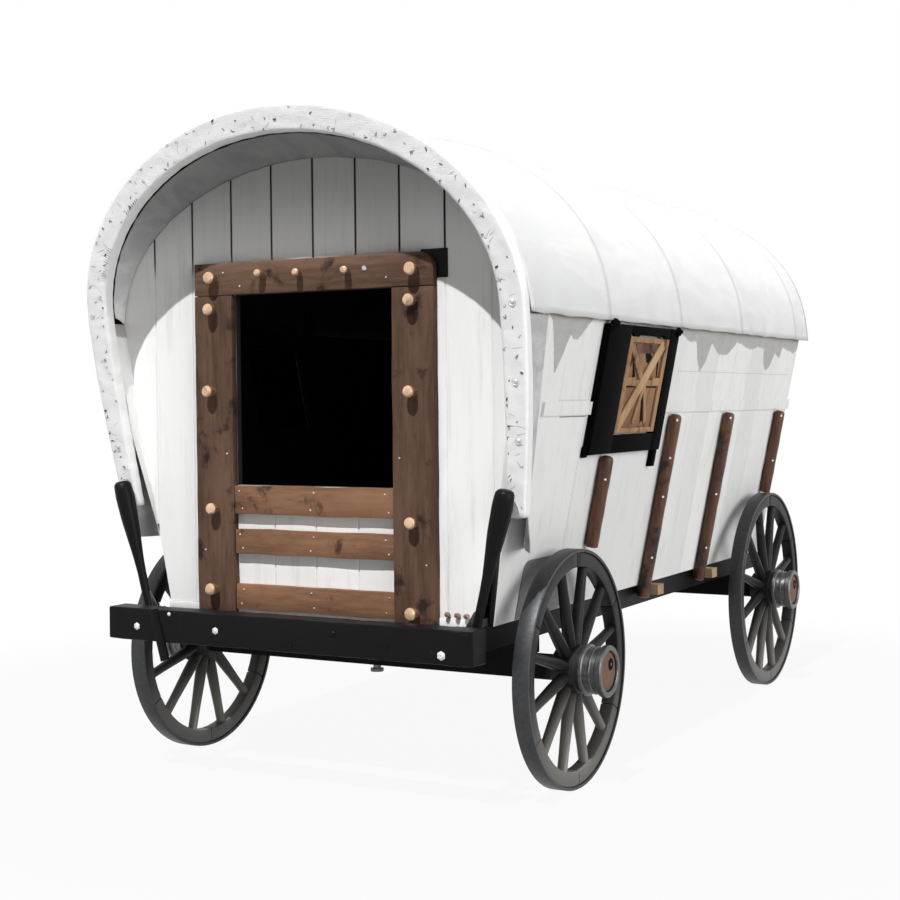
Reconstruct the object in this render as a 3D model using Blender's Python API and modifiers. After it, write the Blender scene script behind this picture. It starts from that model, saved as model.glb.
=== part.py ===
"""Covered wagon: a boarded body with flared sides under a canvas hood, on four spoked wheels.

Metres, +Z up, the ground at z = 0, the front end towards -Y, the origin at the middle of the footprint.
Stations along the wagon are measured backwards from the outer face of the front wall.
"""

import math

import bmesh
import bpy
from mathutils import Matrix, Vector

# Clearances
SEAT = 0.0003                # between pieces that touch
RUB = 0.002                  # between the turning front axle and its bolster

# Body
FLOOR_THICK = 0.030          # its underside is also the lower edge of the walls
WALL_TOP = 1.800
WALL_THICK = 0.025
HALF_WIDTH_BOTTOM = 0.720    # outside of the side walls at their lower edge
HALF_WIDTH_TOP = 0.946       # and at their upper edge
BODY_LENGTH = 3.250
RAIL_BOTTOM = 1.420          # rub rail along each side wall
RAIL_HEIGHT = 0.050
RAIL_PROUD = 0.012
RAIL_FROM = 0.160            # station of its front end
SEAT_DEPTH = 0.001           # shaved off the wall where the rail is cut away
BOARD_WIDTH = 0.190          # upright boards of the end walls
GROOVE_WIDTH = 0.010         # V joint between two boards

# Front end
END_ARC_RISE = 0.605         # of the front wall's arched top
ARCH_LEAN = 0.1667           # forwards for each metre of height
ARCH_LEVEL = 1.000           # height at which the arch stands ARCH_AHEAD before the wall
ARCH_AHEAD = 0.032
ARCH_THICK = 0.050
ARCH_FOOT = 1.060
ARCH_TOP = 2.560
SPRING_RISE = 0.020          # spring of the arch, the bows and the canvas above the walls' upper edge
ARCH_OUT = 0.022             # outside of the arch beyond the side walls, at the spring
ARCH_OUT_FOOT = 0.1035       # and at its foot
ARCH_BAND = 0.100            # seen from the front
ARCH_BAND_FOOT = 0.074
LINING_THICK = 0.010
CHEEK_BOTTOM = 0.930
CHEEK_TOP = 1.780
CHEEK_DEPTH = 0.190
CHEEK_IN = 0.006             # its front edge inside the arch's outer edge
CHEEK_THIN = 0.004           # thickness of its rear edge

# Doorway frame
DOOR_HALF = 0.360
DOOR_SILL = 0.502            # above the floor's underside
DOOR_TOP = 1.897
POST_WIDTH = 0.178
FRAME_THICK = 0.032
HEAD_HEIGHT = 0.125
SLAT_THICK = 0.026
HEAD_CORNER = 0.062          # radius of its worn right corner
HEAD_CORNER_PARTS = 6
SLATS = (                    # bottom and top above the floor's underside
    (0.017, 0.117),
    (0.235, 0.332),
    (0.390, 0.5017),
)
PEG_RADIUS = 0.024
PEG_PROUD = 0.046
PEG_SIDES = 8
HEAD_PEGS = (-0.420, -0.190, -0.035, 0.180, 0.460)   # sideways
POST_PEGS = (0.765, 1.100, 1.535, 1.840)             # up
POST_PEG_PLACE = 0.450

# Canvas and bows
CANVAS_THICK = 0.012
CANVAS_LAP = 0.015           # of its lower edge over the side walls
CANVAS_OUT = 0.020           # beyond the side walls' upper edge
CANVAS_LOW = 0.004           # below the top of the arch
CANVAS_SAG = 0.020
CANVAS_OVERHANG = 0.074      # behind the rear wall
REAR_CLEAR = 0.004           # between the rear wall's arched top and the canvas
BOW_STATIONS = (0.584, 1.374, 2.204, 3.100)
BOW_WIDTH = 0.045
BOW_DEPTH = 0.028
BAY_PARTS = 4                # lofted parts of each bay between bows
ARCH_PARTS = 20              # lofted parts round the arch

# Window and shutter
WINDOW_FROM = 0.594          # outside of the black frame, stations
WINDOW_TO = 1.351
WINDOW_BOTTOM = 1.262
WINDOW_TOP = 1.772
PANE_FROM = 0.812
PANE_TO = 1.252
PANE_BOTTOM = 1.335
PANE_TOP = 1.738
WINDOW_THICK = 0.034
SHUTTER_THICK = 0.018
SHUTTER_GAP = 0.006
BRACE_THICK = 0.012
SHUTTER_EDGE = 0.036         # border boards of the shutter
BRACES = (                   # share of the panel's width and height at both ends, width
    (0.00, 0.00, 0.92, 1.00, 0.052),
    (0.05, 0.96, 0.52, 0.52, 0.034),
    (0.58, 0.52, 0.42, 0.05, 0.024),
    (0.58, 0.52, 0.78, 0.05, 0.024),
    (0.00, 0.53, 1.00, 0.53, 0.026),
)
BRACE_LET = 0.6              # share of the border's width that a brace reaches in
BRACE_SUNK = 0.004           # of a brace in the panel
BRACE_BELOW = 0.003          # of the braces' faces below the frame's face
BRACE_STEP = 0.001           # between the faces of one brace and the next
BORDER_BELOW = 0.001         # of the border's face below the frame's face
WINDOW_STOP = 0.014          # of the wall behind the shutter's edges
HINGE_RADIUS = 0.006         # barrels between the frame and the shutter's upper edge
HINGE_LENGTH = 0.060
HINGE_INSET = 0.050          # from the shutter's corners
HINGE_PARTS = 12

# Stakes and cross sills
STAKE_RADIUS = 0.0285
STAKE_SIDES = 10
STAKE_CROWN = 0.012          # height of its rounded top
STAKE_REACH = 0.053          # of a long stake below the floor's underside
STAKES = (                   # station, foot above the floor's underside, 0 for a long stake
    (0.794, 0.231),
    (1.494, 0.0),
    (2.224, 0.0),
    (3.054, 0.327),
)
CROSS_SILL_OUT = 0.080       # beyond the walls' lower edge
CROSS_SILL_WIDTH = 0.070
CROSS_SILL_HEIGHT = 0.045

# Beam, side sills and levers
BEAM_FRONT = -0.256          # station
BEAM_THICK = 0.100
BEAM_LOW = 0.005             # below the side sills
BEAM_HIGH = 0.030            # above the floor's underside
BEAM_OUT = 0.086             # beyond the walls' lower edge
STRAP_WIDTH = 0.036          # iron strap on the beam's left end
STRAP_THICK = 0.006
STRAP_BOTTOM = 0.490
STRAP_PLACES = (0.585, 0.530)  # sideways at its top and at its bottom
SILL_INSET = 0.016           # of the side sills inside the walls' lower edge
SILL_WIDTH = 0.060
SILL_HEIGHT = 0.090
LEVER_FOOT_STATION = -0.095
LEVER_TOP_STATION = -0.102
LEVER_FOOT_OUT = 0.015       # beyond the walls' lower edge
LEVER_TOP_IN = 0.086         # inside the walls' upper edge
LEVER_TOP = 1.165
LEVER_PLATE = 0.014          # thickness of the plate under its foot
LEVER_PLATE_WIDTH = 0.036
LEVER_SUNK = 0.006           # of the club's foot in its plate
LEVER_SIDES = 10
LEVER_PROFILE = (            # share of the height, radius
    (0.00, 0.017),
    (0.30, 0.018),
    (0.50, 0.025),
    (0.68, 0.0335),
    (0.88, 0.038),
    (0.975, 0.035),
    (1.00, 0.024),
)

# Wheels and axles
FRONT_AXLE = 0.439           # stations
REAR_AXLE = 2.885
FRONT_RADIUS = 0.457
REAR_RADIUS = 0.4955
WHEEL_OUT = 0.180            # outer face of the tyre beyond the walls' lower edge
TYRE_WIDTH = 0.066
TYRE_THICK = 0.012
FELLOE_DEPTH = 0.057
FELLOE_WIDTH = 0.054
RIM_PARTS = 48
HUB_PARTS = 20
SPOKES = 12
SPOKE_SHAPE = (              # share of the length, half depth along the axle, half width
    (0.00, 0.026, 0.020),
    (0.24, 0.025, 0.023),
    (1.00, 0.020, 0.018),
)
SPOKE_SIDES = 6
SPOKE_TENON = 0.009
NAVE_IN = 0.090              # ends of the wooden nave, inside and outside the tyre's outer face
NAVE_OUT = 0.030
NAVE_RADIUS = 0.092
NAVE_END_RADIUS = 0.078
NAVE_TAPER = 0.050           # length of its tapered inner end
HUB_LENGTH = 0.093
HUB_RADIUS = 0.088
HUB_BAND = 0.0035            # height of the band in the middle of the barrel
HUB_BAND_FROM = 0.034        # its edges, outwards from the nave's face
HUB_BAND_TO = 0.046
HUB_BAND_SLOPE = 0.003       # width of its sloping edges
HUB_FLANGE = 0.012           # thickness of the flange against the nave
HUB_SLOPE = 0.002            # width of the sloping step to the barrel
HUB_LIP_SLOPE = 0.004        # and of the one to the lip
HUB_LIP_RADIUS = 0.098
HUB_LIP_WIDTH = 0.026
HUB_RECESS_RADIUS = 0.066
HUB_RECESS_DEPTH = 0.024
BORE_RADIUS = 0.034
ARM_RADIUS = 0.030
NUT_RADIUS = 0.050
NUT_THICK = 0.014
NUT_PLAY = 0.0005
AXLE_DEPTH = 0.085
AXLE_WIDTH = 0.085
BOLSTER_WIDTH = 0.110
BOLSTER_HEIGHT = 0.028061    # of the rear one, which carries the side sills
KINGPIN_RADIUS = 0.016
KINGPIN_PLAY = 0.001
KINGPIN_REACH = 0.020        # below the axle
KINGPIN_HEAD = 0.012
KINGPIN_HEAD_RADIUS = 0.0272
ROUND_PARTS = 16             # sides of the axle arms and of the kingpin
REACH_WIDTH = 0.070
REACH_HEIGHT = 0.058
REACH_UP = 0.001             # above the front bolster's underside

# Derived places
FACET = math.cos(math.pi / RIM_PARTS)       # the tyres stand on the flat of a facet
FRONT_HEIGHT = FRONT_RADIUS * FACET
REAR_HEIGHT = REAR_RADIUS * FACET
SILL_BOTTOM = REAR_HEIGHT + AXLE_DEPTH / 2 + BOLSTER_HEIGHT
FLOOR_BOTTOM = SILL_BOTTOM + SILL_HEIGHT
BEAM_BOTTOM = SILL_BOTTOM - BEAM_LOW
BEAM_TOP = FLOOR_BOTTOM + BEAM_HIGH
SILL_OUTSIDE = HALF_WIDTH_BOTTOM - SILL_INSET
BEAM_HALF = HALF_WIDTH_BOTTOM + BEAM_OUT
CROSS_SILL_HALF = HALF_WIDTH_BOTTOM + CROSS_SILL_OUT
LEVER_FOOT = FLOOR_BOTTOM + SEAT + LEVER_PLATE
LEVER_FOOT_PLACE = HALF_WIDTH_BOTTOM + LEVER_FOOT_OUT
LEVER_TOP_PLACE = HALF_WIDTH_TOP - LEVER_TOP_IN
WHEEL_OUTSIDE = HALF_WIDTH_BOTTOM + WHEEL_OUT
NAVE_INSIDE = WHEEL_OUTSIDE - NAVE_IN
NAVE_OUTSIDE = WHEEL_OUTSIDE + NAVE_OUT
HUB_END = NAVE_OUTSIDE + HUB_LENGTH
FLARE = (HALF_WIDTH_TOP - HALF_WIDTH_BOTTOM) / (WALL_TOP - FLOOR_BOTTOM)
ARCH_SPRING = WALL_TOP + SPRING_RISE
ARCH_HALF = HALF_WIDTH_TOP + ARCH_OUT
ARCH_HALF_FOOT = HALF_WIDTH_BOTTOM + FLARE * (ARCH_FOOT - FLOOR_BOTTOM) + ARCH_OUT_FOOT
CANVAS_EDGE = WALL_TOP - CANVAS_LAP
CANVAS_HALF = HALF_WIDTH_TOP + CANVAS_OUT
CANVAS_TOP = ARCH_TOP - CANVAS_LOW
CANVAS_END = BODY_LENGTH + CANVAS_OVERHANG
FRONT_END = -ARCH_AHEAD - ARCH_LEAN * (ARCH_TOP - ARCH_LEVEL)
REAR_END = max(CANVAS_END, REAR_AXLE + REAR_RADIUS * FACET)
SHIFT = -(FRONT_END + REAR_END) / 2
DOOR_OUTSIDE = DOOR_HALF + POST_WIDTH


def at(station):
    """Y of a station."""
    return station + SHIFT


def wall_outside(z):
    """Half width over the side walls at a height."""
    return HALF_WIDTH_BOTTOM + FLARE * (z - FLOOR_BOTTOM)


def wall_inside(z):
    """Half width between the side walls at a height."""
    return wall_outside(z) - WALL_THICK


def arch_front(z):
    """Station of the front of the leaning arch at a height."""
    return -ARCH_AHEAD - ARCH_LEAN * (z - ARCH_LEVEL)


def empty_scene():
    for obj in list(bpy.data.objects):
        bpy.data.objects.remove(obj, do_unlink=True)


def new_collection(name):
    collection = bpy.data.collections.new(name)
    bpy.context.scene.collection.children.link(collection)
    return collection


def material(name, colour, roughness, metallic=0.0):
    mat = bpy.data.materials.new(name)
    mat.use_nodes = True
    shader = mat.node_tree.nodes["Principled BSDF"]
    shader.inputs["Base Color"].default_value = (*colour, 1.0)
    shader.inputs["Roughness"].default_value = roughness
    shader.inputs["Metallic"].default_value = metallic
    return mat


empty_scene()
WAGON = new_collection("covered wagon")
CUTTERS = new_collection("cutters")

WHITE_BOARD = material("white board", (0.80, 0.79, 0.77), 0.75)
CANVAS = material("canvas", (0.84, 0.83, 0.80), 0.90)
BROWN_WOOD = material("brown wood", (0.16, 0.085, 0.05), 0.70)
PALE_WOOD = material("pale wood", (0.62, 0.42, 0.24), 0.60)
BLACK_PAINT = material("black paint", (0.012, 0.012, 0.013), 0.45)
BLACK_WOOD = material("black wood", (0.035, 0.035, 0.037), 0.60)
IRON = material("iron", (0.06, 0.06, 0.065), 0.50, 0.9)
BARE_WOOD = material("bare wood", (0.36, 0.27, 0.18), 0.80)


def finish_mesh(mesh, mat, smooth=False):
    mesh.materials.clear()
    mesh.materials.append(mat)
    if smooth:
        mesh.shade_smooth()
        mesh.set_sharp_from_angle(angle=math.radians(30))


def add_piece(name, mesh, mat, smooth=False, collection=None, parent=None):
    """A named object of the wagon from a mesh."""
    finish_mesh(mesh, mat, smooth)
    obj = bpy.data.objects.new(name, mesh)
    (collection or WAGON).objects.link(obj)
    if parent:
        obj.parent = parent
    return obj


def as_cutter(obj):
    for collection in list(obj.users_collection):
        collection.objects.unlink(obj)
    CUTTERS.objects.link(obj)
    obj.hide_render = True
    obj.display_type = "WIRE"
    return obj


def boolean(obj, other, operation):
    mod = obj.modifiers.new(other.name, "BOOLEAN")
    mod.operation = operation
    mod.object = other
    mod.solver = "EXACT"
    return mod


def mesh_from(bm, name):
    mesh = bpy.data.meshes.new(name)
    bm.to_mesh(mesh)
    bm.free()
    return mesh


def box_mesh(name, low, high):
    """A box between two corners."""
    low, high = Vector(low), Vector(high)
    bm = bmesh.new()
    bmesh.ops.create_cube(bm, size=1.0)
    bmesh.ops.scale(bm, vec=high - low, verts=bm.verts)
    bmesh.ops.translate(bm, vec=(low + high) / 2, verts=bm.verts)
    return mesh_from(bm, name)


def baked(obj, name, weld=1e-5):
    """The evaluated mesh of an object, welded, in world space; the object is removed."""
    bpy.context.view_layer.update()
    depsgraph = bpy.context.evaluated_depsgraph_get()
    mesh = bpy.data.meshes.new_from_object(obj.evaluated_get(depsgraph))
    mesh.name = name
    mesh.transform(obj.matrix_world)
    if obj.matrix_world.determinant() < 0:
        mesh.flip_normals()
    bm = bmesh.new()
    bm.from_mesh(mesh)
    bmesh.ops.remove_doubles(bm, verts=bm.verts, dist=weld)
    bm.to_mesh(mesh)
    bm.free()
    bpy.data.objects.remove(obj, do_unlink=True)
    return mesh


# A flat outline lies in local X and Y. This turns it upright: X stays, Y becomes Z.
UPRIGHT = Matrix.Rotation(math.radians(90), 4, "X")


def plate_mesh(name, loops, thick, matrix):
    """A flat plate from closed outlines, the inner ones being holes, centred on its plane."""
    curve = bpy.data.curves.new(name, "CURVE")
    curve.dimensions = "2D"
    curve.fill_mode = "BOTH"
    curve.extrude = thick / 2
    for loop in loops:
        spline = curve.splines.new("POLY")
        spline.points.add(len(loop) - 1)
        for point, (x, y) in zip(spline.points, loop):
            point.co = (x, y, 0.0, 1.0)
        spline.use_cyclic_u = True
    obj = bpy.data.objects.new(name, curve)
    WAGON.objects.link(obj)
    obj.matrix_world = matrix
    mesh = baked(obj, name)
    bpy.data.curves.remove(curve)
    return mesh


def turned_mesh(name, profile, parts, closed=True, matrix=None):
    """A profile of (radius, height) turned round local Z by a Screw modifier."""
    bm = bmesh.new()
    verts = [bm.verts.new((r, 0.0, z)) for r, z in profile]
    for a, b in zip(verts, verts[1:]):
        bm.edges.new((a, b))
    if closed:
        bm.edges.new((verts[-1], verts[0]))
    obj = bpy.data.objects.new(name, mesh_from(bm, name))
    WAGON.objects.link(obj)
    screw = obj.modifiers.new("turn", "SCREW")
    screw.steps = parts
    screw.render_steps = parts
    screw.use_merge_vertices = True
    screw.merge_threshold = 1e-5
    screw.use_smooth_shade = False
    if matrix:
        obj.matrix_world = matrix
    return baked(obj, name)


def half_ellipse(half, rise, spring, parts, start=0.0, end=math.pi):
    """Points of an arch from right to left."""
    step = (end - start) / parts
    return [(half * math.cos(start + i * step), spring + rise * math.sin(start + i * step))
            for i in range(parts + 1)]


def mirrored(mesh, name):
    """The same mesh on the other side of the wagon."""
    other = mesh.copy()
    other.name = name
    other.transform(Matrix.Scale(-1.0, 4, (1.0, 0.0, 0.0)))
    other.flip_normals()
    return other


def pair(name, mesh, mat, smooth=False):
    """A right piece and its mirror on the left."""
    right = add_piece(name + "_right", mesh, mat, smooth)
    left = add_piece(name + "_left", mirrored(mesh, name + "_left"), mat, smooth)
    return right, left


# Floor and sills

def make_floor():
    half = wall_inside(FLOOR_BOTTOM + FLOOR_THICK) - FLARE * FLOOR_THICK - SEAT
    add_piece("floor", box_mesh("floor", (-half, at(0.0), FLOOR_BOTTOM),
                                (half, at(BODY_LENGTH), FLOOR_BOTTOM + FLOOR_THICK)), BARE_WOOD)


def make_sills():
    low = (SILL_OUTSIDE - SILL_WIDTH, at(BEAM_FRONT + BEAM_THICK) + SEAT, SILL_BOTTOM)
    high = (SILL_OUTSIDE, at(BODY_LENGTH), FLOOR_BOTTOM - SEAT)
    notch = CROSS_SILL_WIDTH + 2 * SEAT
    right = add_piece("side_sill_right", box_mesh("side_sill", low, high), BLACK_PAINT)
    left = add_piece("side_sill_left", mirrored(right.data, "side_sill_left"), BLACK_PAINT)
    for number, station in enumerate(cross_sill_stations(), 1):
        slot = add_piece("sill_notch_%d" % number, box_mesh(
            "sill_notch", (-SILL_OUTSIDE - 0.01, at(station) - notch / 2,
                           FLOOR_BOTTOM - CROSS_SILL_HEIGHT - 2 * SEAT),
            (SILL_OUTSIDE + 0.01, at(station) + notch / 2, FLOOR_BOTTOM + 0.01)), BLACK_PAINT)
        as_cutter(slot)
        boolean(right, slot, "DIFFERENCE")
        boolean(left, slot, "DIFFERENCE")
        add_piece("cross_sill_%d" % number, box_mesh(
            "cross_sill", (-CROSS_SILL_HALF, at(station) - CROSS_SILL_WIDTH / 2,
                           FLOOR_BOTTOM - SEAT - CROSS_SILL_HEIGHT),
            (CROSS_SILL_HALF, at(station) + CROSS_SILL_WIDTH / 2, FLOOR_BOTTOM - SEAT)), BARE_WOOD)


def cross_sill_stations():
    """A cross sill lies just behind each of the long stakes."""
    return [station + STAKE_RADIUS + CROSS_SILL_WIDTH / 2 + SEAT
            for station, foot in STAKES if foot == 0.0]


def make_beam():
    """The beam across the front, with the iron strap that hangs on its left end."""
    front = at(BEAM_FRONT)
    timber = box_mesh("front_beam", (-BEAM_HALF, front, BEAM_BOTTOM),
                      (BEAM_HALF, front + BEAM_THICK, BEAM_TOP))
    beam = add_piece("front_beam", timber, BLACK_PAINT)
    half = STRAP_WIDTH / 2
    high, low = STRAP_PLACES
    outline = [(-high - half, BEAM_TOP), (-low - half, STRAP_BOTTOM), (-low + half, STRAP_BOTTOM),
               (-high + half, BEAM_TOP)]
    place = Matrix.Translation((0.0, front, 0.0)) @ UPRIGHT
    strap = plate_mesh("beam_strap", [outline], 2 * STRAP_THICK, place)
    boolean(beam, as_cutter(add_piece("beam_strap", strap, IRON)), "UNION")


# Walls

def side_outline():
    """Section of the right side wall, with its rub rail."""
    rail_top = RAIL_BOTTOM + RAIL_HEIGHT
    return [
        (wall_inside(FLOOR_BOTTOM), FLOOR_BOTTOM),
        (wall_outside(FLOOR_BOTTOM), FLOOR_BOTTOM),
        (wall_outside(RAIL_BOTTOM), RAIL_BOTTOM),
        (wall_outside(RAIL_BOTTOM) + RAIL_PROUD, RAIL_BOTTOM),
        (wall_outside(rail_top) + RAIL_PROUD, rail_top),
        (wall_outside(rail_top), rail_top),
        (wall_outside(WALL_TOP), WALL_TOP),
        (wall_inside(WALL_TOP), WALL_TOP),
    ]


def on_wall(depth, station, z):
    """A point at a distance from the outer face of the right wall, measured sideways."""
    return Vector((wall_outside(z) + depth, at(station), z))


def wall_slab(name, stations, heights, depths):
    """A block that follows the flare: between stations, heights and distances from the wall."""
    bm = bmesh.new()
    bmesh.ops.create_cube(bm, size=1.0)
    for vert in bm.verts:
        z = heights[0] if vert.co.z < 0 else heights[1]
        depth = depths[0] if vert.co.x < 0 else depths[1]
        station = stations[0] if vert.co.y < 0 else stations[1]
        vert.co = on_wall(depth, station, z)
    return mesh_from(bm, name)


def make_side_walls():
    mesh = plate_mesh("side_wall", [side_outline()], 1.0, UPRIGHT)
    middle = 0.0
    for vert in mesh.vertices:
        if vert.co.y > middle:
            vert.co.y = at(BODY_LENGTH)
        else:
            vert.co.y = at(arch_front(vert.co.z) + ARCH_THICK + SEAT)
    right, left = pair("side_wall", mesh, WHITE_BOARD)
    stop = WINDOW_STOP
    opening = wall_slab("window_opening", (PANE_FROM + stop, PANE_TO - stop),
                        (PANE_BOTTOM + stop, PANE_TOP - stop), (-0.1, 0.1))
    seat = wall_slab("window_seat", (WINDOW_FROM - SEAT, WINDOW_TO + SEAT),
                     (WINDOW_BOTTOM - SEAT, WINDOW_TOP + SEAT), (-SEAT_DEPTH, 0.1))
    ahead = wall_slab("rail_front", (FRONT_END, RAIL_FROM),
                      (RAIL_BOTTOM - 0.01, RAIL_BOTTOM + RAIL_HEIGHT + 0.01), (-SEAT_DEPTH, 0.1))
    for wall, mirror in ((right, False), (left, True)):
        for mesh in (opening, seat, ahead):
            shape = mirrored(mesh, mesh.name + "_left") if mirror else mesh
            cutter = as_cutter(add_piece(shape.name, shape, WHITE_BOARD))
            boolean(wall, cutter, "DIFFERENCE")


def end_outline(arc_half, arc_rise, foot):
    """Outline of an end wall between the side walls, with an arched top."""
    arc = half_ellipse(arc_half, arc_rise, WALL_TOP, ARCH_PARTS)
    bottom = wall_inside(foot) - SEAT
    return [(-bottom, foot), (bottom, foot)] + arc


def board_grooves(name, station):
    """One cutter: an upright square bar, turned by 45 degrees, at each board joint."""
    bm = bmesh.new()
    count = int(HALF_WIDTH_TOP / BOARD_WIDTH)
    side = GROOVE_WIDTH / math.sqrt(2)
    for i in range(-count, count + 1):
        made = bmesh.ops.create_cube(bm, size=1.0)["verts"]
        bmesh.ops.scale(bm, vec=(side, side, CANVAS_TOP), verts=made)
        bmesh.ops.rotate(bm, matrix=Matrix.Rotation(math.radians(45), 3, "Z"), verts=made)
        bmesh.ops.translate(bm, vec=(i * BOARD_WIDTH, at(station), FLOOR_BOTTOM + CANVAS_TOP / 2), verts=made)
    return as_cutter(add_piece(name, mesh_from(bm, name), WHITE_BOARD))


def make_front_wall():
    # The wall stands on the floor's front edge and stops above it.
    foot = FLOOR_BOTTOM + FLOOR_THICK + SEAT
    outline = end_outline(wall_inside(WALL_TOP) - SEAT, END_ARC_RISE, foot)
    sill = FLOOR_BOTTOM + DOOR_SILL
    hole = [(-DOOR_HALF, sill), (DOOR_HALF, sill), (DOOR_HALF, DOOR_TOP), (-DOOR_HALF, DOOR_TOP)]
    place = Matrix.Translation((0.0, at(WALL_THICK / 2), 0.0)) @ UPRIGHT
    wall = add_piece("front_wall", plate_mesh("front_wall", [outline, hole], WALL_THICK, place), WHITE_BOARD)
    boolean(wall, board_grooves("front_grooves", 0.0), "DIFFERENCE")


def make_rear_wall():
    rise = CANVAS_TOP - CANVAS_THICK - REAR_CLEAR - WALL_TOP
    outline = end_outline(wall_inside(WALL_TOP) - SEAT, rise, FLOOR_BOTTOM + FLOOR_THICK + SEAT)
    place = Matrix.Translation((0.0, at(BODY_LENGTH - WALL_THICK / 2), 0.0)) @ UPRIGHT
    wall = add_piece("rear_wall", plate_mesh("rear_wall", [outline], WALL_THICK, place), WHITE_BOARD)
    boolean(wall, board_grooves("rear_grooves", BODY_LENGTH), "DIFFERENCE")


# Doorway

def pegs_mesh(name, places):
    """Tapered pegs whose heads stand out of the frame's face."""
    bm = bmesh.new()
    face = at(-FRAME_THICK - SEAT)
    length = FRAME_THICK / 2 + PEG_PROUD
    for x, z in places:
        made = bmesh.ops.create_cone(bm, cap_ends=True, segments=PEG_SIDES, radius1=PEG_RADIUS * 0.72,
                                     radius2=PEG_RADIUS, depth=length)["verts"]
        bmesh.ops.rotate(bm, matrix=Matrix.Rotation(math.radians(-90), 3, "X"), verts=made)
        bmesh.ops.translate(bm, vec=(x, face - PEG_PROUD + length / 2, z), verts=made)
    return mesh_from(bm, name)


def head_outline():
    """The head board from the front, its upper right corner worn round."""
    top = DOOR_TOP + HEAD_HEIGHT
    centre = (DOOR_OUTSIDE - HEAD_CORNER, top - HEAD_CORNER)
    turns = [math.radians(90 * i / HEAD_CORNER_PARTS) for i in range(HEAD_CORNER_PARTS + 1)]
    corner = [(centre[0] + HEAD_CORNER * math.cos(a), centre[1] + HEAD_CORNER * math.sin(a)) for a in turns]
    return [(-DOOR_OUTSIDE, DOOR_TOP), (DOOR_OUTSIDE, DOOR_TOP)] + corner + [(-DOOR_OUTSIDE, top)]


def make_doorway():
    low, high = at(-FRAME_THICK - SEAT), at(-SEAT)
    foot = FLOOR_BOTTOM
    for side, name in ((1.0, "right"), (-1.0, "left")):
        edges = sorted((side * (DOOR_HALF + SEAT), side * DOOR_OUTSIDE))
        post = add_piece("door_post_" + name, box_mesh(
            "door_post", (edges[0], low, foot), (edges[1], high, DOOR_TOP - SEAT)), BROWN_WOOD)
        pegs = pegs_mesh("post_pegs_" + name, [(side * POST_PEG_PLACE, z) for z in POST_PEGS])
        boolean(post, as_cutter(add_piece("post_pegs_" + name, pegs, PALE_WOOD)), "UNION")
    head = add_piece("door_head", plate_mesh("door_head", [head_outline()], high - low,
                     Matrix.Translation((0.0, (low + high) / 2, 0.0)) @ UPRIGHT), BROWN_WOOD)
    middle = DOOR_TOP + HEAD_HEIGHT / 2
    pegs = pegs_mesh("head_pegs", [(x, middle) for x in HEAD_PEGS])
    boolean(head, as_cutter(add_piece("head_pegs", pegs, PALE_WOOD)), "UNION")
    half = DOOR_HALF
    for number, (bottom, top) in enumerate(SLATS, 1):
        add_piece("door_slat_%d" % number, box_mesh(
            "door_slat", (-half, at(-SLAT_THICK - SEAT), FLOOR_BOTTOM + bottom),
            (half, high, FLOOR_BOTTOM + top)), BROWN_WOOD)


# Hood

def arch_half(z, half_spring, half_foot):
    """Half width of the arch's legs, which swell gently up to the spring."""
    share = min(max((z - ARCH_FOOT) / (ARCH_SPRING - ARCH_FOOT), 0.0), 1.0)
    return half_foot + (half_spring - half_foot) * math.sin(share * math.pi / 2)


def arch_side(half_spring, half_foot, top, parts):
    """From the right foot over the top to the left foot."""
    legs = [ARCH_FOOT + (ARCH_SPRING - ARCH_FOOT) * i / 4 for i in range(4)]
    right = [(arch_half(z, half_spring, half_foot), z) for z in legs]
    arc = half_ellipse(half_spring, top - ARCH_SPRING, ARCH_SPRING, parts)
    return right + arc + [(-x, z) for x, z in reversed(right)]


def make_front_arch():
    outer = arch_side(ARCH_HALF, ARCH_HALF_FOOT, ARCH_TOP, ARCH_PARTS)
    inner = arch_side(
        ARCH_HALF - ARCH_BAND, ARCH_HALF_FOOT - ARCH_BAND_FOOT, ARCH_TOP - ARCH_BAND, ARCH_PARTS)
    mesh = plate_mesh("front_arch", [outer + inner[::-1]], ARCH_THICK, UPRIGHT)
    for vert in mesh.vertices:
        vert.co.y += at(arch_front(vert.co.z) + ARCH_THICK / 2)
    add_piece("front_arch", mesh, CANVAS)


def inset(points, distance):
    """An open polyline moved sideways by a distance, to its left as it runs."""
    moved = []
    for i, point in enumerate(points):
        here = Vector(point)
        before = (here - Vector(points[i - 1])).normalized() if i else None
        after = (Vector(points[i + 1]) - here).normalized() if i + 1 < len(points) else None
        before, after = before or after, after or before
        left = Vector((-before.y - after.y, before.x + after.x)).normalized()
        across = left.dot(Vector((-after.y, after.x)))
        moved.append(tuple(here + left * distance / across))
    return moved


def shell_mesh(name, outer, inner):
    """A closed shell lofted through rows of outer and of inner points."""
    bm = bmesh.new()
    grids = [[[bm.verts.new(point) for point in row] for row in rows] for rows in (outer, inner)]
    last_row, last = len(outer) - 1, len(outer[0]) - 1
    for grid in grids:
        for low, high in zip(grid, grid[1:]):
            for i in range(last):
                bm.faces.new((low[i], low[i + 1], high[i + 1], high[i]))
    one, two = grids
    for row in (0, last_row):
        for i in range(last):
            bm.faces.new((one[row][i], one[row][i + 1], two[row][i + 1], two[row][i]))
    for i in (0, last):
        for row in range(last_row):
            bm.faces.new((one[row][i], one[row + 1][i], two[row + 1][i], two[row][i]))
    bmesh.ops.recalc_face_normals(bm, faces=bm.faces)
    return mesh_from(bm, name)


def canvas_line(sag):
    """Section of the canvas, from its right edge over the top to its left edge."""
    half = CANVAS_HALF - sag * 0.25
    arc = half_ellipse(half, CANVAS_TOP - sag - ARCH_SPRING, ARCH_SPRING, ARCH_PARTS)
    return [(half, CANVAS_EDGE)] + arc + [(-half, CANVAS_EDGE)]


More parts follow.
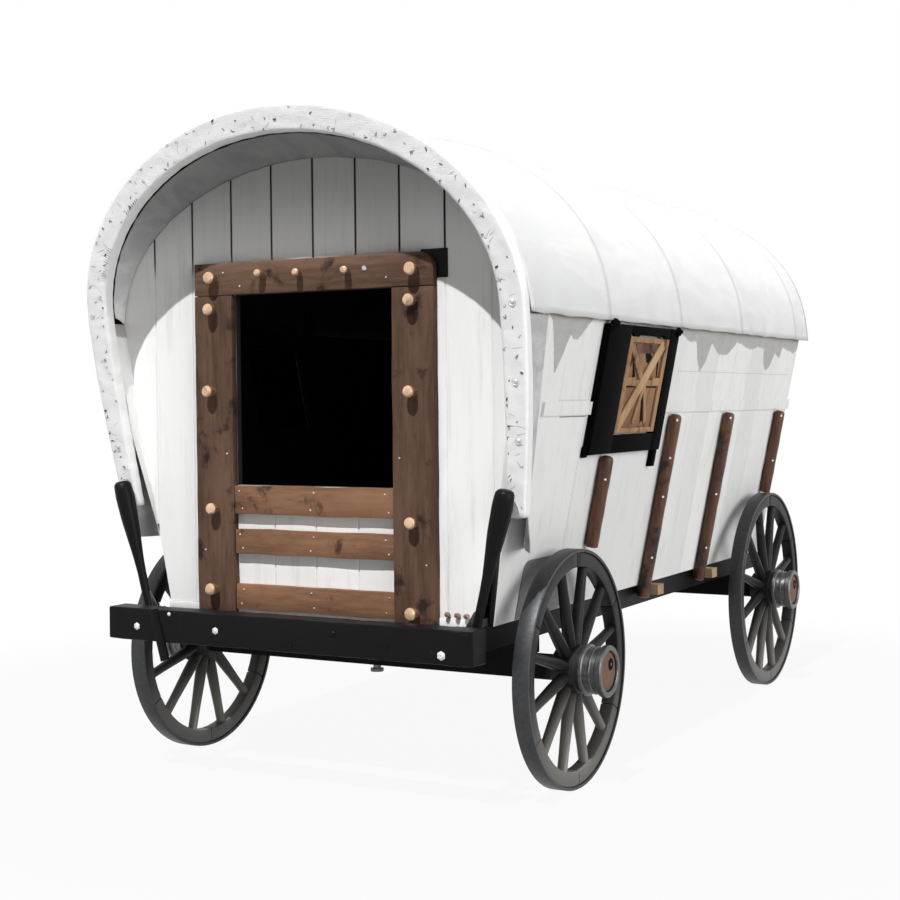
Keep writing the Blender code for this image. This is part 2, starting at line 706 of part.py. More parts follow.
def placed(line, station, lean):
    """A section stood at a station, or with a lean of 1 against the back of the leaning arch."""
    row = []
    for x, z in line:
        behind_arch = arch_front(z) + ARCH_THICK + SEAT
        row.append((x, at(station + lean * (behind_arch - station)), z))
    return row


def make_canopy():
    """One sheet from the arch to the rear, flat over each bow and slack between them."""
    sections = [(0.0, 0.0, 1.0)]
    start, lean = 0.0, 1.0
    for station in BOW_STATIONS:
        stop = station - BOW_WIDTH / 2
        for i in range(1, BAY_PARTS + 1):
            share = i / BAY_PARTS
            sag = CANVAS_SAG * math.sin(share * math.pi)
            sections.append((start + share * (stop - start), sag, lean * (1.0 - share)))
        start, lean = station + BOW_WIDTH / 2, 0.0
        sections.append((start, 0.0, 0.0))
    sections.append((CANVAS_END, 0.0, 0.0))
    outer = [placed(canvas_line(sag), station, lean) for station, sag, lean in sections]
    inner = [placed(inset(canvas_line(sag), CANVAS_THICK), station, lean) for station, sag, lean in sections]
    add_piece("canopy", shell_mesh("canopy", outer, inner), CANVAS, smooth=True)


def make_lining():
    """The underside of the hood, from the arch's inner edge back to the wall's arched top."""
    front = half_ellipse(ARCH_HALF - ARCH_BAND, ARCH_TOP - ARCH_BAND - ARCH_SPRING, ARCH_SPRING, ARCH_PARTS)
    wall = half_ellipse(wall_inside(WALL_TOP) - SEAT, END_ARC_RISE, WALL_TOP, ARCH_PARTS)
    back = inset(wall, LINING_THICK)
    outer = [placed(inset(front, -LINING_THICK), 0.0, 1.0), placed(wall, -SEAT, 0.0)]
    inner = [placed(front, 0.0, 1.0), placed(back, -SEAT, 0.0)]
    add_piece("hood_lining", shell_mesh("hood_lining", outer, inner), CANVAS, smooth=True)


def make_cheeks():
    """The hood's lower sides, drawn back from the arch's legs to the walls."""
    bm = bmesh.new()
    rings = []
    for z in (CHEEK_BOTTOM, (CHEEK_BOTTOM + CHEEK_TOP) / 2, CHEEK_TOP):
        front = arch_front(z) + ARCH_THICK + SEAT
        near = wall_outside(z) + SEAT
        far = arch_half(z, ARCH_HALF, ARCH_HALF_FOOT) - CHEEK_IN
        back = front + CHEEK_DEPTH
        outline = ((near, front), (far, front), (near + CHEEK_THIN, back), (near, back))
        rings.append([bm.verts.new((x, at(station), z)) for x, station in outline])
    for low, high in zip(rings, rings[1:]):
        for i in range(4):
            j = (i + 1) % 4
            bm.faces.new((low[i], low[j], high[j], high[i]))
    bm.faces.new(rings[0][::-1])
    bm.faces.new(rings[-1])
    bmesh.ops.recalc_face_normals(bm, faces=bm.faces)
    pair("hood_cheek", mesh_from(bm, "hood_cheek"), CANVAS)


def make_bows():
    """Bent wooden bows under the canvas, their feet on the side walls."""
    line = canvas_line(0.0)
    foot = WALL_TOP + SEAT
    outer, inner = [[(x, max(z, foot)) for x, z in inset(line, depth)]
                    for depth in (CANVAS_THICK + SEAT, CANVAS_THICK + SEAT + BOW_DEPTH)]
    for number, station in enumerate(BOW_STATIONS, 1):
        place = Matrix.Translation((0.0, at(station), 0.0)) @ UPRIGHT
        add_piece("bow_%d" % number, plate_mesh("bow", [outer + inner[::-1]], BOW_WIDTH, place), BARE_WOOD)


# Window and shutter

def make_windows():
    outer = wall_slab("window_frame", (WINDOW_FROM, WINDOW_TO), (WINDOW_BOTTOM, WINDOW_TOP),
                      (SEAT, WINDOW_THICK))
    right, left = pair("window_frame", outer, BLACK_PAINT)
    hole = wall_slab("frame_opening", (PANE_FROM, PANE_TO), (PANE_BOTTOM, PANE_TOP), (-0.1, 0.1))
    bm = bmesh.new()
    for station in (PANE_FROM + HINGE_INSET, PANE_TO - HINGE_INSET):
        made = bmesh.ops.create_cone(bm, cap_ends=True, segments=HINGE_PARTS, radius1=HINGE_RADIUS,
                                     radius2=HINGE_RADIUS, depth=HINGE_LENGTH)["verts"]
        bmesh.ops.rotate(bm, matrix=Matrix.Rotation(math.radians(90), 3, "X"), verts=made)
        centre = hinge_place()
        bmesh.ops.translate(bm, vec=(centre.x, at(station), centre.z), verts=made)
    barrels = mesh_from(bm, "hinge_barrels")
    for frame, mirror in ((right, False), (left, True)):
        for mesh, operation in ((hole, "DIFFERENCE"), (barrels, "UNION")):
            shape = mirrored(mesh, mesh.name + "_left") if mirror else mesh
            boolean(frame, as_cutter(add_piece(shape.name, shape, BLACK_PAINT)), operation)


def hinge_place():
    """Middle of the shutter's hinge line, at the frame's face and the opening's upper edge."""
    height = PANE_TOP - HINGE_RADIUS * 0.7
    return on_wall(WINDOW_THICK - HINGE_RADIUS * 0.3, (PANE_FROM + PANE_TO) / 2, height)


def brace_mesh(name, start, end, width, depths):
    """A board across the shutter's panel, between two (station, height) points."""
    run = Vector((end[0] - start[0], end[1] - start[1]))
    side = Vector((-run.y, run.x)).normalized() * width / 2
    corners = [Vector(start) - side, Vector(end) - side, Vector(end) + side, Vector(start) + side]
    bm = bmesh.new()
    rings = [[bm.verts.new(on_wall(depth, c.x, c.y)) for c in corners] for depth in depths]
    for i in range(4):
        j = (i + 1) % 4
        bm.faces.new((rings[0][i], rings[0][j], rings[1][j], rings[1][i]))
    bm.faces.new(rings[0][::-1])
    bm.faces.new(rings[1])
    bmesh.ops.recalc_face_normals(bm, faces=bm.faces)
    return mesh_from(bm, name)


def make_shutters():
    """A framed and braced shutter hung from its upper edge."""
    a, b = PANE_FROM + SHUTTER_GAP, PANE_TO - SHUTTER_GAP
    hinge = hinge_place()
    low, high = PANE_BOTTOM + SHUTTER_GAP, hinge.z - HINGE_RADIUS - SEAT
    face = WINDOW_THICK - BRACE_THICK
    edge = SHUTTER_EDGE
    board = wall_slab("shutter", (a, b), (low, high),
                      (face - SHUTTER_THICK, WINDOW_THICK - BORDER_BELOW))
    panel = wall_slab("shutter_panel", (a + edge, b - edge), (low + edge, high - edge), (face, 0.1))
    # Each brace is let a little into the border and the panel, and lies a step below the one before.
    start, foot = a + BRACE_LET * edge, low + BRACE_LET * edge
    across, rise = b - start - BRACE_LET * edge, high - foot - BRACE_LET * edge
    braces = [brace_mesh(
        "shutter_brace_%d" % number, (start + one * across, foot + two * rise),
        (start + three * across, foot + four * rise), width,
        (face - BRACE_SUNK, WINDOW_THICK - BRACE_BELOW - BRACE_STEP * number))
        for number, (one, two, three, four, width) in enumerate(BRACES)]
    for side, name in ((1.0, "right"), (-1.0, "left")):
        pivot = bpy.data.objects.new("shutter_pivot_" + name, None)
        pivot.location = (side * hinge.x, hinge.y, hinge.z)
        WAGON.objects.link(pivot)
        bpy.context.view_layer.update()
        shapes = [mesh if side > 0 else mirrored(mesh, mesh.name + "_left")
                  for mesh in [board, panel] + braces]
        shutter = add_piece("shutter_" + name, shapes[0], BROWN_WOOD, parent=pivot)
        shutter.matrix_parent_inverse = pivot.matrix_world.inverted()
        for number, shape in enumerate(shapes[1:]):
            operation = "UNION" if number else "DIFFERENCE"
            boolean(shutter, as_cutter(add_piece(shape.name, shape, BROWN_WOOD)), operation)


# Stakes

def make_stakes():
    slope = math.atan(FLARE)
    away = (STAKE_RADIUS + 2 * SEAT) / math.cos(slope)
    for number, (station, above) in enumerate(STAKES, 1):
        foot = FLOOR_BOTTOM + above if above else FLOOR_BOTTOM - STAKE_REACH
        top = RAIL_BOTTOM - SEAT - STAKE_RADIUS * math.sin(slope)
        if WINDOW_FROM < station < WINDOW_TO:
            top = WINDOW_BOTTOM - SEAT - STAKE_RADIUS * math.sin(slope)
        low = on_wall(away, station, foot)
        high = on_wall(away, station, top)
        length = (high - low).length
        pole = turned_mesh("stake", [
            (0.0, length), (STAKE_RADIUS * 0.6, length), (STAKE_RADIUS, length - STAKE_CROWN),
            (STAKE_RADIUS, 0.0), (0.0, 0.0)], STAKE_SIDES, closed=False,
            matrix=Matrix.Translation(low) @ Matrix.Rotation(slope, 4, "Y"))
        pair("stake_%d" % number, pole, BROWN_WOOD, smooth=True)


# Levers

def make_levers():
    """Club-shaped hand levers, each on a plate that lies on its side sill."""
    station = at(LEVER_FOOT_STATION)
    low = Vector((LEVER_FOOT_PLACE, station, LEVER_FOOT - LEVER_SUNK))
    high = Vector((LEVER_TOP_PLACE, at(LEVER_TOP_STATION), LEVER_TOP))
    length = (high - low).length
    curve = [(radius, share * length) for share, radius in reversed(LEVER_PROFILE)]
    points = [(0.0, length)] + curve + [(0.0, 0.0)]
    turn = (high - low).to_track_quat("Z", "Y").to_matrix().to_4x4()
    place = Matrix.Translation(low) @ turn
    club = turned_mesh("lever", points, LEVER_SIDES, closed=False, matrix=place)
    right, left = pair("lever", club, BLACK_PAINT, smooth=True)
    half = LEVER_PLATE_WIDTH / 2
    plate = box_mesh(
        "lever_plate", (SILL_OUTSIDE - SILL_WIDTH, station - half, LEVER_FOOT - LEVER_PLATE),
        (LEVER_FOOT_PLACE + half, station + half, LEVER_FOOT))
    for lever, mirror in ((right, False), (left, True)):
        shape = mirrored(plate, "lever_plate_left") if mirror else plate
        boolean(lever, as_cutter(add_piece(shape.name, shape, BLACK_PAINT)), "UNION")


# Running gear

def axle_mesh(name, station, height):
    """Turned arms with their end nuts; the timber between them is joined to it."""
    nut_out = HUB_END - HUB_RECESS_DEPTH + NUT_PLAY + NUT_THICK
    nut_in = nut_out - NUT_THICK
    profile = [(0.0, nut_out), (NUT_RADIUS, nut_out), (NUT_RADIUS, nut_in), (ARM_RADIUS, nut_in),
               (ARM_RADIUS, -nut_in), (NUT_RADIUS, -nut_in), (NUT_RADIUS, -nut_out), (0.0, -nut_out)]
    place = Matrix.Translation((0.0, at(station), height)) @ Matrix.Rotation(math.radians(90), 4, "Y")
    return turned_mesh(name, profile, ROUND_PARTS, closed=False, matrix=place)


def make_axle(name, station, height):
    half = NAVE_INSIDE - NUT_PLAY
    timber = box_mesh(name, (-half, at(station) - AXLE_WIDTH / 2, height - AXLE_DEPTH / 2),
                      (half, at(station) + AXLE_WIDTH / 2, height + AXLE_DEPTH / 2))
    axle = add_piece(name, timber, BLACK_WOOD)
    arms = as_cutter(add_piece(name + "_arms", axle_mesh(name + "_arms", station, height), IRON))
    boolean(axle, arms, "UNION")
    return axle


def make_running_gear():
    front = make_axle("front_axle", FRONT_AXLE, FRONT_HEIGHT)
    bolster_low = FRONT_HEIGHT + AXLE_DEPTH / 2 + RUB
    add_piece("front_bolster", box_mesh(
        "front_bolster", (-SILL_OUTSIDE, at(FRONT_AXLE) - BOLSTER_WIDTH / 2, bolster_low),
        (SILL_OUTSIDE, at(FRONT_AXLE) + BOLSTER_WIDTH / 2, SILL_BOTTOM - SEAT)), BLACK_WOOD)
    pin_low = FRONT_HEIGHT - AXLE_DEPTH / 2 - KINGPIN_REACH
    place = Matrix.Translation((0.0, at(FRONT_AXLE), 0.0))
    head = pin_low - KINGPIN_HEAD
    pin = turned_mesh("kingpin", [
        (0.0, bolster_low - SEAT), (KINGPIN_RADIUS, bolster_low - SEAT), (KINGPIN_RADIUS, pin_low),
        (KINGPIN_HEAD_RADIUS, pin_low), (KINGPIN_HEAD_RADIUS, head), (0.0, head)], ROUND_PARTS,
        closed=False, matrix=place)
    add_piece("kingpin", pin, IRON, smooth=True)
    wide, above, below = KINGPIN_RADIUS + KINGPIN_PLAY, FRONT_HEIGHT + AXLE_DEPTH, FRONT_HEIGHT - AXLE_DEPTH
    bore = turned_mesh("kingpin_bore", [(0.0, above), (wide, above), (wide, below), (0.0, below)],
                       ROUND_PARTS, closed=False, matrix=place)
    boolean(front, as_cutter(add_piece("kingpin_bore", bore, IRON)), "DIFFERENCE")

    make_axle("rear_axle", REAR_AXLE, REAR_HEIGHT)
    add_piece("rear_bolster", box_mesh(
        "rear_bolster", (-SILL_OUTSIDE, at(REAR_AXLE) - BOLSTER_WIDTH / 2,
                         REAR_HEIGHT + AXLE_DEPTH / 2 + SEAT),
        (SILL_OUTSIDE, at(REAR_AXLE) + BOLSTER_WIDTH / 2, SILL_BOTTOM - SEAT)), BLACK_WOOD)
    reach_low = bolster_low + REACH_UP
    add_piece("reach_pole", box_mesh(
        "reach_pole", (-REACH_WIDTH / 2, at(FRONT_AXLE) + BOLSTER_WIDTH / 2 + SEAT, reach_low),
        (REACH_WIDTH / 2, at(REAR_AXLE) - BOLSTER_WIDTH / 2 - SEAT, reach_low + REACH_HEIGHT)), BLACK_WOOD)


# Wheels

def ring_profile(outside, inside, low, high):
    return [(outside, high), (outside, low), (inside, low), (inside, high)]


def spokes_mesh(name, rim):
    """Oval spokes, thickest a quarter of the way out, let into the nave and the felloe."""
    bm = bmesh.new()
    start, end = NAVE_RADIUS - SPOKE_TENON, rim + SPOKE_TENON
    turns = [2 * math.pi * (i + 0.5) / SPOKE_SIDES for i in range(SPOKE_SIDES)]
    for i in range(SPOKES):
        turn = Matrix.Rotation(2 * math.pi * i / SPOKES + math.pi / RIM_PARTS, 3, "Z")
        rings = []
        for share, deep, wide in SPOKE_SHAPE:
            out = start + share * (end - start)
            oval = [Vector((out, wide * math.sin(a), deep * math.cos(a))) for a in turns]
            rings.append([bm.verts.new(turn @ point) for point in oval])
        for one, two in zip(rings, rings[1:]):
            for a in range(SPOKE_SIDES):
                b = (a + 1) % SPOKE_SIDES
                bm.faces.new((one[a], one[b], two[b], two[a]))
        bm.faces.new(rings[0][::-1])
        bm.faces.new(rings[-1])
    bmesh.ops.recalc_face_normals(bm, faces=bm.faces)
    return mesh_from(bm, name)


def wheel_meshes(name, radius):
    """Tyre, wooden wheel and hub round local Z, with local Z = 0 in the middle of the rim."""
    middle = WHEEL_OUTSIDE - TYRE_WIDTH / 2
    felloe_out = radius - TYRE_THICK - SEAT
    felloe_in = radius - TYRE_THICK - FELLOE_DEPTH
    tyre = turned_mesh(name + "_tyre", ring_profile(radius, radius - TYRE_THICK, -TYRE_WIDTH / 2,
                                                    TYRE_WIDTH / 2), RIM_PARTS)
    felloe = turned_mesh(name + "_felloe", ring_profile(felloe_out, felloe_in, -FELLOE_WIDTH / 2,
                                                        FELLOE_WIDTH / 2), RIM_PARTS)
    low, high = NAVE_INSIDE - middle, NAVE_OUTSIDE - middle
    nave = turned_mesh(name + "_nave", [
        (NAVE_RADIUS, high), (NAVE_RADIUS, low + NAVE_TAPER), (NAVE_END_RADIUS, low), (BORE_RADIUS, low),
        (BORE_RADIUS, high)], HUB_PARTS)
    whole = add_piece(name, felloe, BLACK_WOOD)
    spokes = as_cutter(add_piece(name + "_spokes", spokes_mesh(name + "_spokes", felloe_in), BLACK_WOOD))
    core = as_cutter(add_piece(name + "_core", nave, BLACK_WOOD))
    boolean(whole, spokes, "UNION")
    boolean(whole, core, "UNION")
    wheel = baked(whole, name + "_wood", weld=1e-7)
    near, far = high + SEAT, HUB_END - middle
    recess = far - HUB_RECESS_DEPTH
    lip = far - HUB_LIP_WIDTH
    hub = turned_mesh(name + "_hub", [
        (HUB_RECESS_RADIUS, far), (HUB_LIP_RADIUS, far), (HUB_LIP_RADIUS, lip),
        (HUB_RADIUS, lip - HUB_LIP_SLOPE), (HUB_RADIUS, near + HUB_BAND_TO),
        (HUB_RADIUS + HUB_BAND, near + HUB_BAND_TO - HUB_BAND_SLOPE),
        (HUB_RADIUS + HUB_BAND, near + HUB_BAND_FROM + HUB_BAND_SLOPE),
        (HUB_RADIUS, near + HUB_BAND_FROM), (HUB_RADIUS, near + HUB_FLANGE + HUB_SLOPE),
        (HUB_LIP_RADIUS, near + HUB_FLANGE), (HUB_LIP_RADIUS, near), (BORE_RADIUS, near),
        (BORE_RADIUS, recess), (HUB_RECESS_RADIUS, recess)], HUB_PARTS)
    for cutter in (spokes, core):
        bpy.data.objects.remove(cutter, do_unlink=True)
    return tyre, wheel, hub


def make_wheels():
    half_facet = Matrix.Rotation(math.pi / RIM_PARTS, 4, "Z")
    middle = WHEEL_OUTSIDE - TYRE_WIDTH / 2
    for end, station, height, radius in (
            ("front", FRONT_AXLE, FRONT_HEIGHT, FRONT_RADIUS),
            ("rear", REAR_AXLE, REAR_HEIGHT, REAR_RADIUS)):
        tyre, wheel, hub = wheel_meshes(end, radius)
        for side, name in ((1.0, "right"), (-1.0, "left")):
            turn = Matrix.Rotation(0.0 if side > 0 else math.pi, 4, "Z")
            place = Matrix.Translation((side * middle, at(station), height))
            matrix = place @ turn @ Matrix.Rotation(math.radians(90), 4, "Y") @ half_facet
            for kind, mesh, mat in (("tyre", tyre, IRON), ("wheel", wheel, BLACK_WOOD), ("hub", hub, IRON)):
                piece = add_piece("%s_%s_%s" % (kind, end, name), mesh, mat, smooth=True)
                piece.matrix_world = matrix


make_floor()
make_sills()
make_beam()
make_side_walls()
make_front_wall()
make_rear_wall()
make_doorway()
make_front_arch()
make_lining()
make_cheeks()
make_canopy()
make_bows()
make_windows()
make_shutters()
make_stakes()
make_levers()
make_running_gear()
make_wheels()
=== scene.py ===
# %% [markdown]
# # A covered wagon, dressed
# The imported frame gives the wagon's solids at their real size. This file gives each of them its finish, and
# models what a solid can't show: stretched canvas, shaped spokes, rounded boards, pegs and nails.
# Every step says first what the piece is on the real wagon, how it could be made and why this way was chosen.

import math
import random

import bpy
from mathutils import Matrix, Vector, noise


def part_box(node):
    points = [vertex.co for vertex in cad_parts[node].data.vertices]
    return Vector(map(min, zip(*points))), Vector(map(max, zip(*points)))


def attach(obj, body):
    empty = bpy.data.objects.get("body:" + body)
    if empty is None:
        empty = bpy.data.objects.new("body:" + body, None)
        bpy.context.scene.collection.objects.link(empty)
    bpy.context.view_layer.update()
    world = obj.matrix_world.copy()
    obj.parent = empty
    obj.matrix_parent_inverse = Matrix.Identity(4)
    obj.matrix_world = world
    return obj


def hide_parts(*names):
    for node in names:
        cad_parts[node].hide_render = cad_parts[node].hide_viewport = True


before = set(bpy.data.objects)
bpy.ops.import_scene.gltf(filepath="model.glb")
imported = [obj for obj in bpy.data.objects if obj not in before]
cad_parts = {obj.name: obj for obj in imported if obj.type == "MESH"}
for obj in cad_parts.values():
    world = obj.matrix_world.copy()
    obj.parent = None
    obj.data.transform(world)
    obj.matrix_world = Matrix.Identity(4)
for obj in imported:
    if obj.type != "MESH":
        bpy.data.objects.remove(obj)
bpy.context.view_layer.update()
NOISE_SEED = 1                # without a seed, noise vectors would differ on each run
noise.seed_set(NOISE_SEED)

# %% [markdown]
# ## Places
# Along the wagon, places are stations: metres behind the outer face of the front wall. The widths and heights
# below are read from the frame where a node has them, and named here where it hasn't.

# %% Stations and the flare of the walls
WALL_LOW, WALL_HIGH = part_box("side_wall_right")
FRONT_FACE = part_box("front_wall")[0].y
REAR_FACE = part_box("rear_wall")[1].y
HALF_BOTTOM = 0.720
HALF_TOP = 0.946
FLARE = (HALF_TOP - HALF_BOTTOM) / (WALL_HIGH.z - WALL_LOW.z)


def at(station):
    """Y of a station."""
    return FRONT_FACE + station


def wall_out(z):
    """Half width over the side walls at a height."""
    return HALF_BOTTOM + FLARE * (z - WALL_LOW.z)


print("flare:", round(math.degrees(math.atan(FLARE)), 1), "degrees")

# %% [markdown]
# ## Camera
# The photo looks at the front and the right side from a little below eye height. The camera's place, its turn and
# its lens were found from the wheels, the arch and the lower edge of the wall.

# %% Camera
CAMERA_PLACE = (3.291, -6.529, 1.480)
CAMERA_TURN = 28.5           # degrees round the wagon, to its right side
CAMERA_DROP = 1.817          # degrees below the horizon
CAMERA_ROLL = -0.49
FOCAL_PIXELS = 1563.8
PICTURE_WIDTH = 900
SENSOR = 36.0

camera = bpy.data.objects.new("camera", bpy.data.cameras.new("camera"))
bpy.context.scene.collection.objects.link(camera)
camera.data.sensor_width = SENSOR
camera.data.lens = FOCAL_PIXELS / PICTURE_WIDTH * SENSOR
turn, drop = math.radians(CAMERA_TURN), math.radians(CAMERA_DROP)
forward = Vector((-math.sin(turn) * math.cos(drop), math.cos(turn) * math.cos(drop), -math.sin(drop)))
right = Vector((math.cos(turn), math.sin(turn), 0.0))
level = Matrix((right, right.cross(forward), -forward)).transposed()
camera.matrix_world = Matrix.Translation(CAMERA_PLACE) @ (
    level @ Matrix.Rotation(math.radians(CAMERA_ROLL), 3, "Z")).to_4x4()
bpy.context.scene.camera = camera
print("lens:", round(camera.data.lens, 2), "mm")

# %% [markdown]
# ## Light
# The sun stands high and almost straight ahead of the wagon, so the hood shades the top of the end wall down to the
# head board and pegs throw short hard shadows. Sun lamps are used because their strength doesn't change
# along the wagon. A second, very wide sun lights the right side softly, and the sky fills the rest.

# %% Lamps and sky
SUN_WAY = (-0.03, 0.52, -0.83)
SUN_STRENGTH = 4.0
SUN_WIDTH = 0.8              # degrees, for the softness of a shadow's edge
FILL_WAY = (-0.95, 0.10, -0.20)
FILL_STRENGTH = 2.35
FILL_WIDTH = 50.0
SKY = 0.12


def sun(name, way, strength, width):
    lamp = bpy.data.objects.new(name, bpy.data.lights.new(name, "SUN"))
    bpy.context.scene.collection.objects.link(lamp)
    lamp.data.energy = strength
    lamp.data.angle = math.radians(width)
    lamp.rotation_euler = Vector(way).to_track_quat("-Z", "Y").to_euler()
    return lamp


sun("sun", SUN_WAY, SUN_STRENGTH, SUN_WIDTH)
sun("fill", FILL_WAY, FILL_STRENGTH, FILL_WIDTH)


def seen_directly(nodes):
    """1 for rays that show a background: from the camera, in a reflection or through glass."""
    path = nodes.new("ShaderNodeLightPath")
    total = path.outputs["Is Camera Ray"]
    for name in ("Is Glossy Ray", "Is Transmission Ray"):
        add = nodes.new("ShaderNodeMath")
        add.operation = "MAXIMUM"
        nodes.id_data.links.new(total, add.inputs[0])
        nodes.id_data.links.new(path.outputs[name], add.inputs[1])
        total = add.outputs[0]
    return total


world = bpy.data.worlds.new("pale studio")
bpy.context.scene.world = world
world.use_nodes = True
tree = world.node_tree
back = tree.nodes["Background"]
back.inputs["Color"].default_value = (1.0, 1.0, 1.0, 1.0)
strength = tree.nodes.new("ShaderNodeMapRange")
strength.inputs["To Min"].default_value = SKY
strength.inputs["To Max"].default_value = 1.0
tree.links.new(seen_directly(tree.nodes), strength.inputs["Value"])
tree.links.new(strength.outputs["Result"], back.inputs["Strength"])
view = bpy.context.scene.view_settings
view.view_transform = "Standard"
print("sun:", SUN_STRENGTH, "sky:", SKY)

# %% [markdown]
# ## Floor
# A pale floor keeps the wagon's shadow. Far from the wagon it gives way to the white of the backdrop, so that no
# horizon shows behind a white object.

# %% Floor
FLOOR_SIZE = 60.0
FLOOR_COLOUR = 0.32
FLOOR_FADE = (2.2, 4.2)      # metres from the middle of the wagon
FLOOR_WHITE = 0.93           # share of white paper near the wagon, which keeps its shadow faint

bpy.ops.object.select_all(action="DESELECT")
bpy.ops.mesh.primitive_plane_add(size=FLOOR_SIZE)
floor = bpy.context.object
floor.name = "studio_floor"
paper = bpy.data.materials.new("studio paper")
paper.use_nodes = True
nodes, links = paper.node_tree.nodes, paper.node_tree.links
shader = nodes["Principled BSDF"]
shader.inputs["Base Color"].default_value = (FLOOR_COLOUR, FLOOR_COLOUR, FLOOR_COLOUR, 1.0)
shader.inputs["Roughness"].default_value = 0.9
shader.inputs["Specular IOR Level"].default_value = 0.1
place = nodes.new("ShaderNodeTexCoord")
length = nodes.new("ShaderNodeVectorMath")
length.operation = "LENGTH"
links.new(place.outputs["Object"], length.inputs[0])
fade = nodes.new("ShaderNodeMapRange")
fade.interpolation_type = "SMOOTHSTEP"
fade.inputs["From Min"].default_value, fade.inputs["From Max"].default_value = FLOOR_FADE
fade.inputs["To Min"].default_value = FLOOR_WHITE
links.new(length.outputs["Value"], fade.inputs["Value"])
both = nodes.new("ShaderNodeMath")
both.operation = "MULTIPLY"
links.new(fade.outputs["Result"], both.inputs[0])
links.new(seen_directly(nodes), both.inputs[1])
white = nodes.new("ShaderNodeEmission")
mix = nodes.new("ShaderNodeMixShader")
links.new(both.outputs[0], mix.inputs["Fac"])
links.new(shader.outputs["BSDF"], mix.inputs[1])
links.new(white.outputs["Emission"], mix.inputs[2])
links.new(mix.outputs["Shader"], nodes["Material Output"].inputs["Surface"])
floor.data.materials.append(paper)
print("floor:", FLOOR_SIZE, "m")

# %% [markdown]
# ## Helpers for modelling
# An operator acts on all that is selected, so everything is deselected first. A finished piece has its place in
# its mesh and its object at the origin, so a pattern on Object coordinates never slides.

# %% Selecting and settling
TINY = 1e-5
SIDES = (("right", 1.0), ("left", -1.0))
MIRROR = Matrix.Scale(-1.0, 4, (1.0, 0.0, 0.0))
FORWARD = Matrix.Rotation(math.radians(90), 4, "X")      # turns the top of a piece to the front
OUTWARD = Matrix.Rotation(math.radians(90), 4, "Y")      # turns the top of a piece to the right


def deselect():
    if bpy.context.object and bpy.context.object.mode != "OBJECT":
        bpy.ops.object.mode_set(mode="OBJECT")
    bpy.ops.object.select_all(action="DESELECT")


def only(obj):
    """Select one object and make it active."""
    deselect()
    obj.select_set(True)
    bpy.context.view_layer.objects.active = obj
    return obj


def settle(obj, matrix=None):
    """Bake an object's place, and a further move, into its mesh."""
    obj.data.transform(obj.matrix_basis)
    obj.matrix_basis = Matrix.Identity(4)
    if matrix:
        obj.data.transform(matrix)
        if matrix.determinant() < 0:
            obj.data.flip_normals()
    return obj


def put(obj, place, turn=Matrix.Identity(4)):
    """Turn a piece about the origin and move it to its place."""
    return settle(obj, Matrix.Translation(place) @ turn)


def copied(obj, name, matrix=None):
    """Another object with its own mesh."""
    other = bpy.data.objects.new(name, obj.data.copy())
    bpy.context.scene.collection.objects.link(other)
    return settle(other, matrix)


def both_sides(part, pattern):
    """The right piece and its mirrored copy on the left, each with its side, named by a pattern."""
    pieces = ((part, "right"), (copied(part, "left", MIRROR), "left"))
    for piece, side in pieces:
        piece.name = pattern % side
    return pieces


def joined(name, objects):
    only(objects[0])
    for obj in objects[1:]:
        obj.select_set(True)
    if len(objects) > 1:
        bpy.ops.object.join()
    bpy.context.object.name = name
    return bpy.context.object


def remove(*objects):
    for obj in objects:
        bpy.data.objects.remove(obj, do_unlink=True)


def smooth(obj, degrees=35.0):
    only(obj)
    bpy.ops.object.shade_smooth_by_angle(angle=math.radians(degrees))
    return obj


def dress(obj, material, body="wagon", stands_for=()):
    """Give a piece its finish, its body and the nodes that it stands for."""
    if not obj.data.materials:
        obj.data.materials.append(material)
    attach(obj, body)
    if stands_for:
        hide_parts(*stands_for)
    return obj


print("helpers for selecting ready")

# %% Edit mode and modifiers
# These helpers work on the active piece, so that a step that shapes a mesh says only what is its own.


def open_edit():
    """Edit mode with all of the mesh selected."""
    bpy.ops.object.mode_set(mode="EDIT")
    bpy.ops.mesh.select_all(action="SELECT")


def select_rim():
    """In edit mode, select the edges that bound a face on one side only."""
    bpy.ops.mesh.select_all(action="DESELECT")
    bpy.ops.mesh.select_mode(type="EDGE")
    bpy.ops.mesh.select_non_manifold()


def close_edit():
    """Point all faces outwards and go back to object mode."""
    bpy.ops.mesh.select_all(action="SELECT")
    bpy.ops.mesh.normals_make_consistent(inside=False)
    bpy.ops.mesh.select_mode(type="VERT")
    bpy.ops.object.mode_set(mode="OBJECT")


def sliced(obj, axis, low, length, count):
    """Cut a piece into equal slices along an axis, so that a noise can bend it."""
    only(obj)
    bpy.ops.object.mode_set(mode="EDIT")
    for i in range(1, count):
        place, normal = [0.0, 0.0, 0.0], [0.0, 0.0, 0.0]
        place[axis], normal[axis] = low + length * i / count, 1.0
        bpy.ops.mesh.select_all(action="SELECT")
        bpy.ops.mesh.bisect(plane_co=place, plane_no=normal)
    bpy.ops.object.mode_set(mode="OBJECT")
    return obj


def round_corner(board, test, radius, segments=8):
    """Round each edge of a board whose two ends pass a test."""
    open_edit()
    bpy.ops.mesh.select_all(action="DESELECT")
    bpy.ops.mesh.select_mode(type="EDGE")
    bpy.ops.object.mode_set(mode="OBJECT")
    for edge in board.data.edges:
        edge.select = all(test(board.data.vertices[i].co) for i in edge.vertices)
    bpy.ops.object.mode_set(mode="EDIT")
    bpy.ops.mesh.bevel(offset=radius, segments=segments, affect="EDGES")
    bpy.ops.mesh.select_mode(type="VERT")
    bpy.ops.object.mode_set(mode="OBJECT")


def applied(obj, kind, **settings):
    """Add a modifier, set it and apply it."""
    only(obj)
    modifier = obj.modifiers.new(kind.lower(), kind)
    for key, value in settings.items():
        setattr(modifier, key, value)
    bpy.ops.object.modifier_apply(modifier=modifier.name)
    return obj


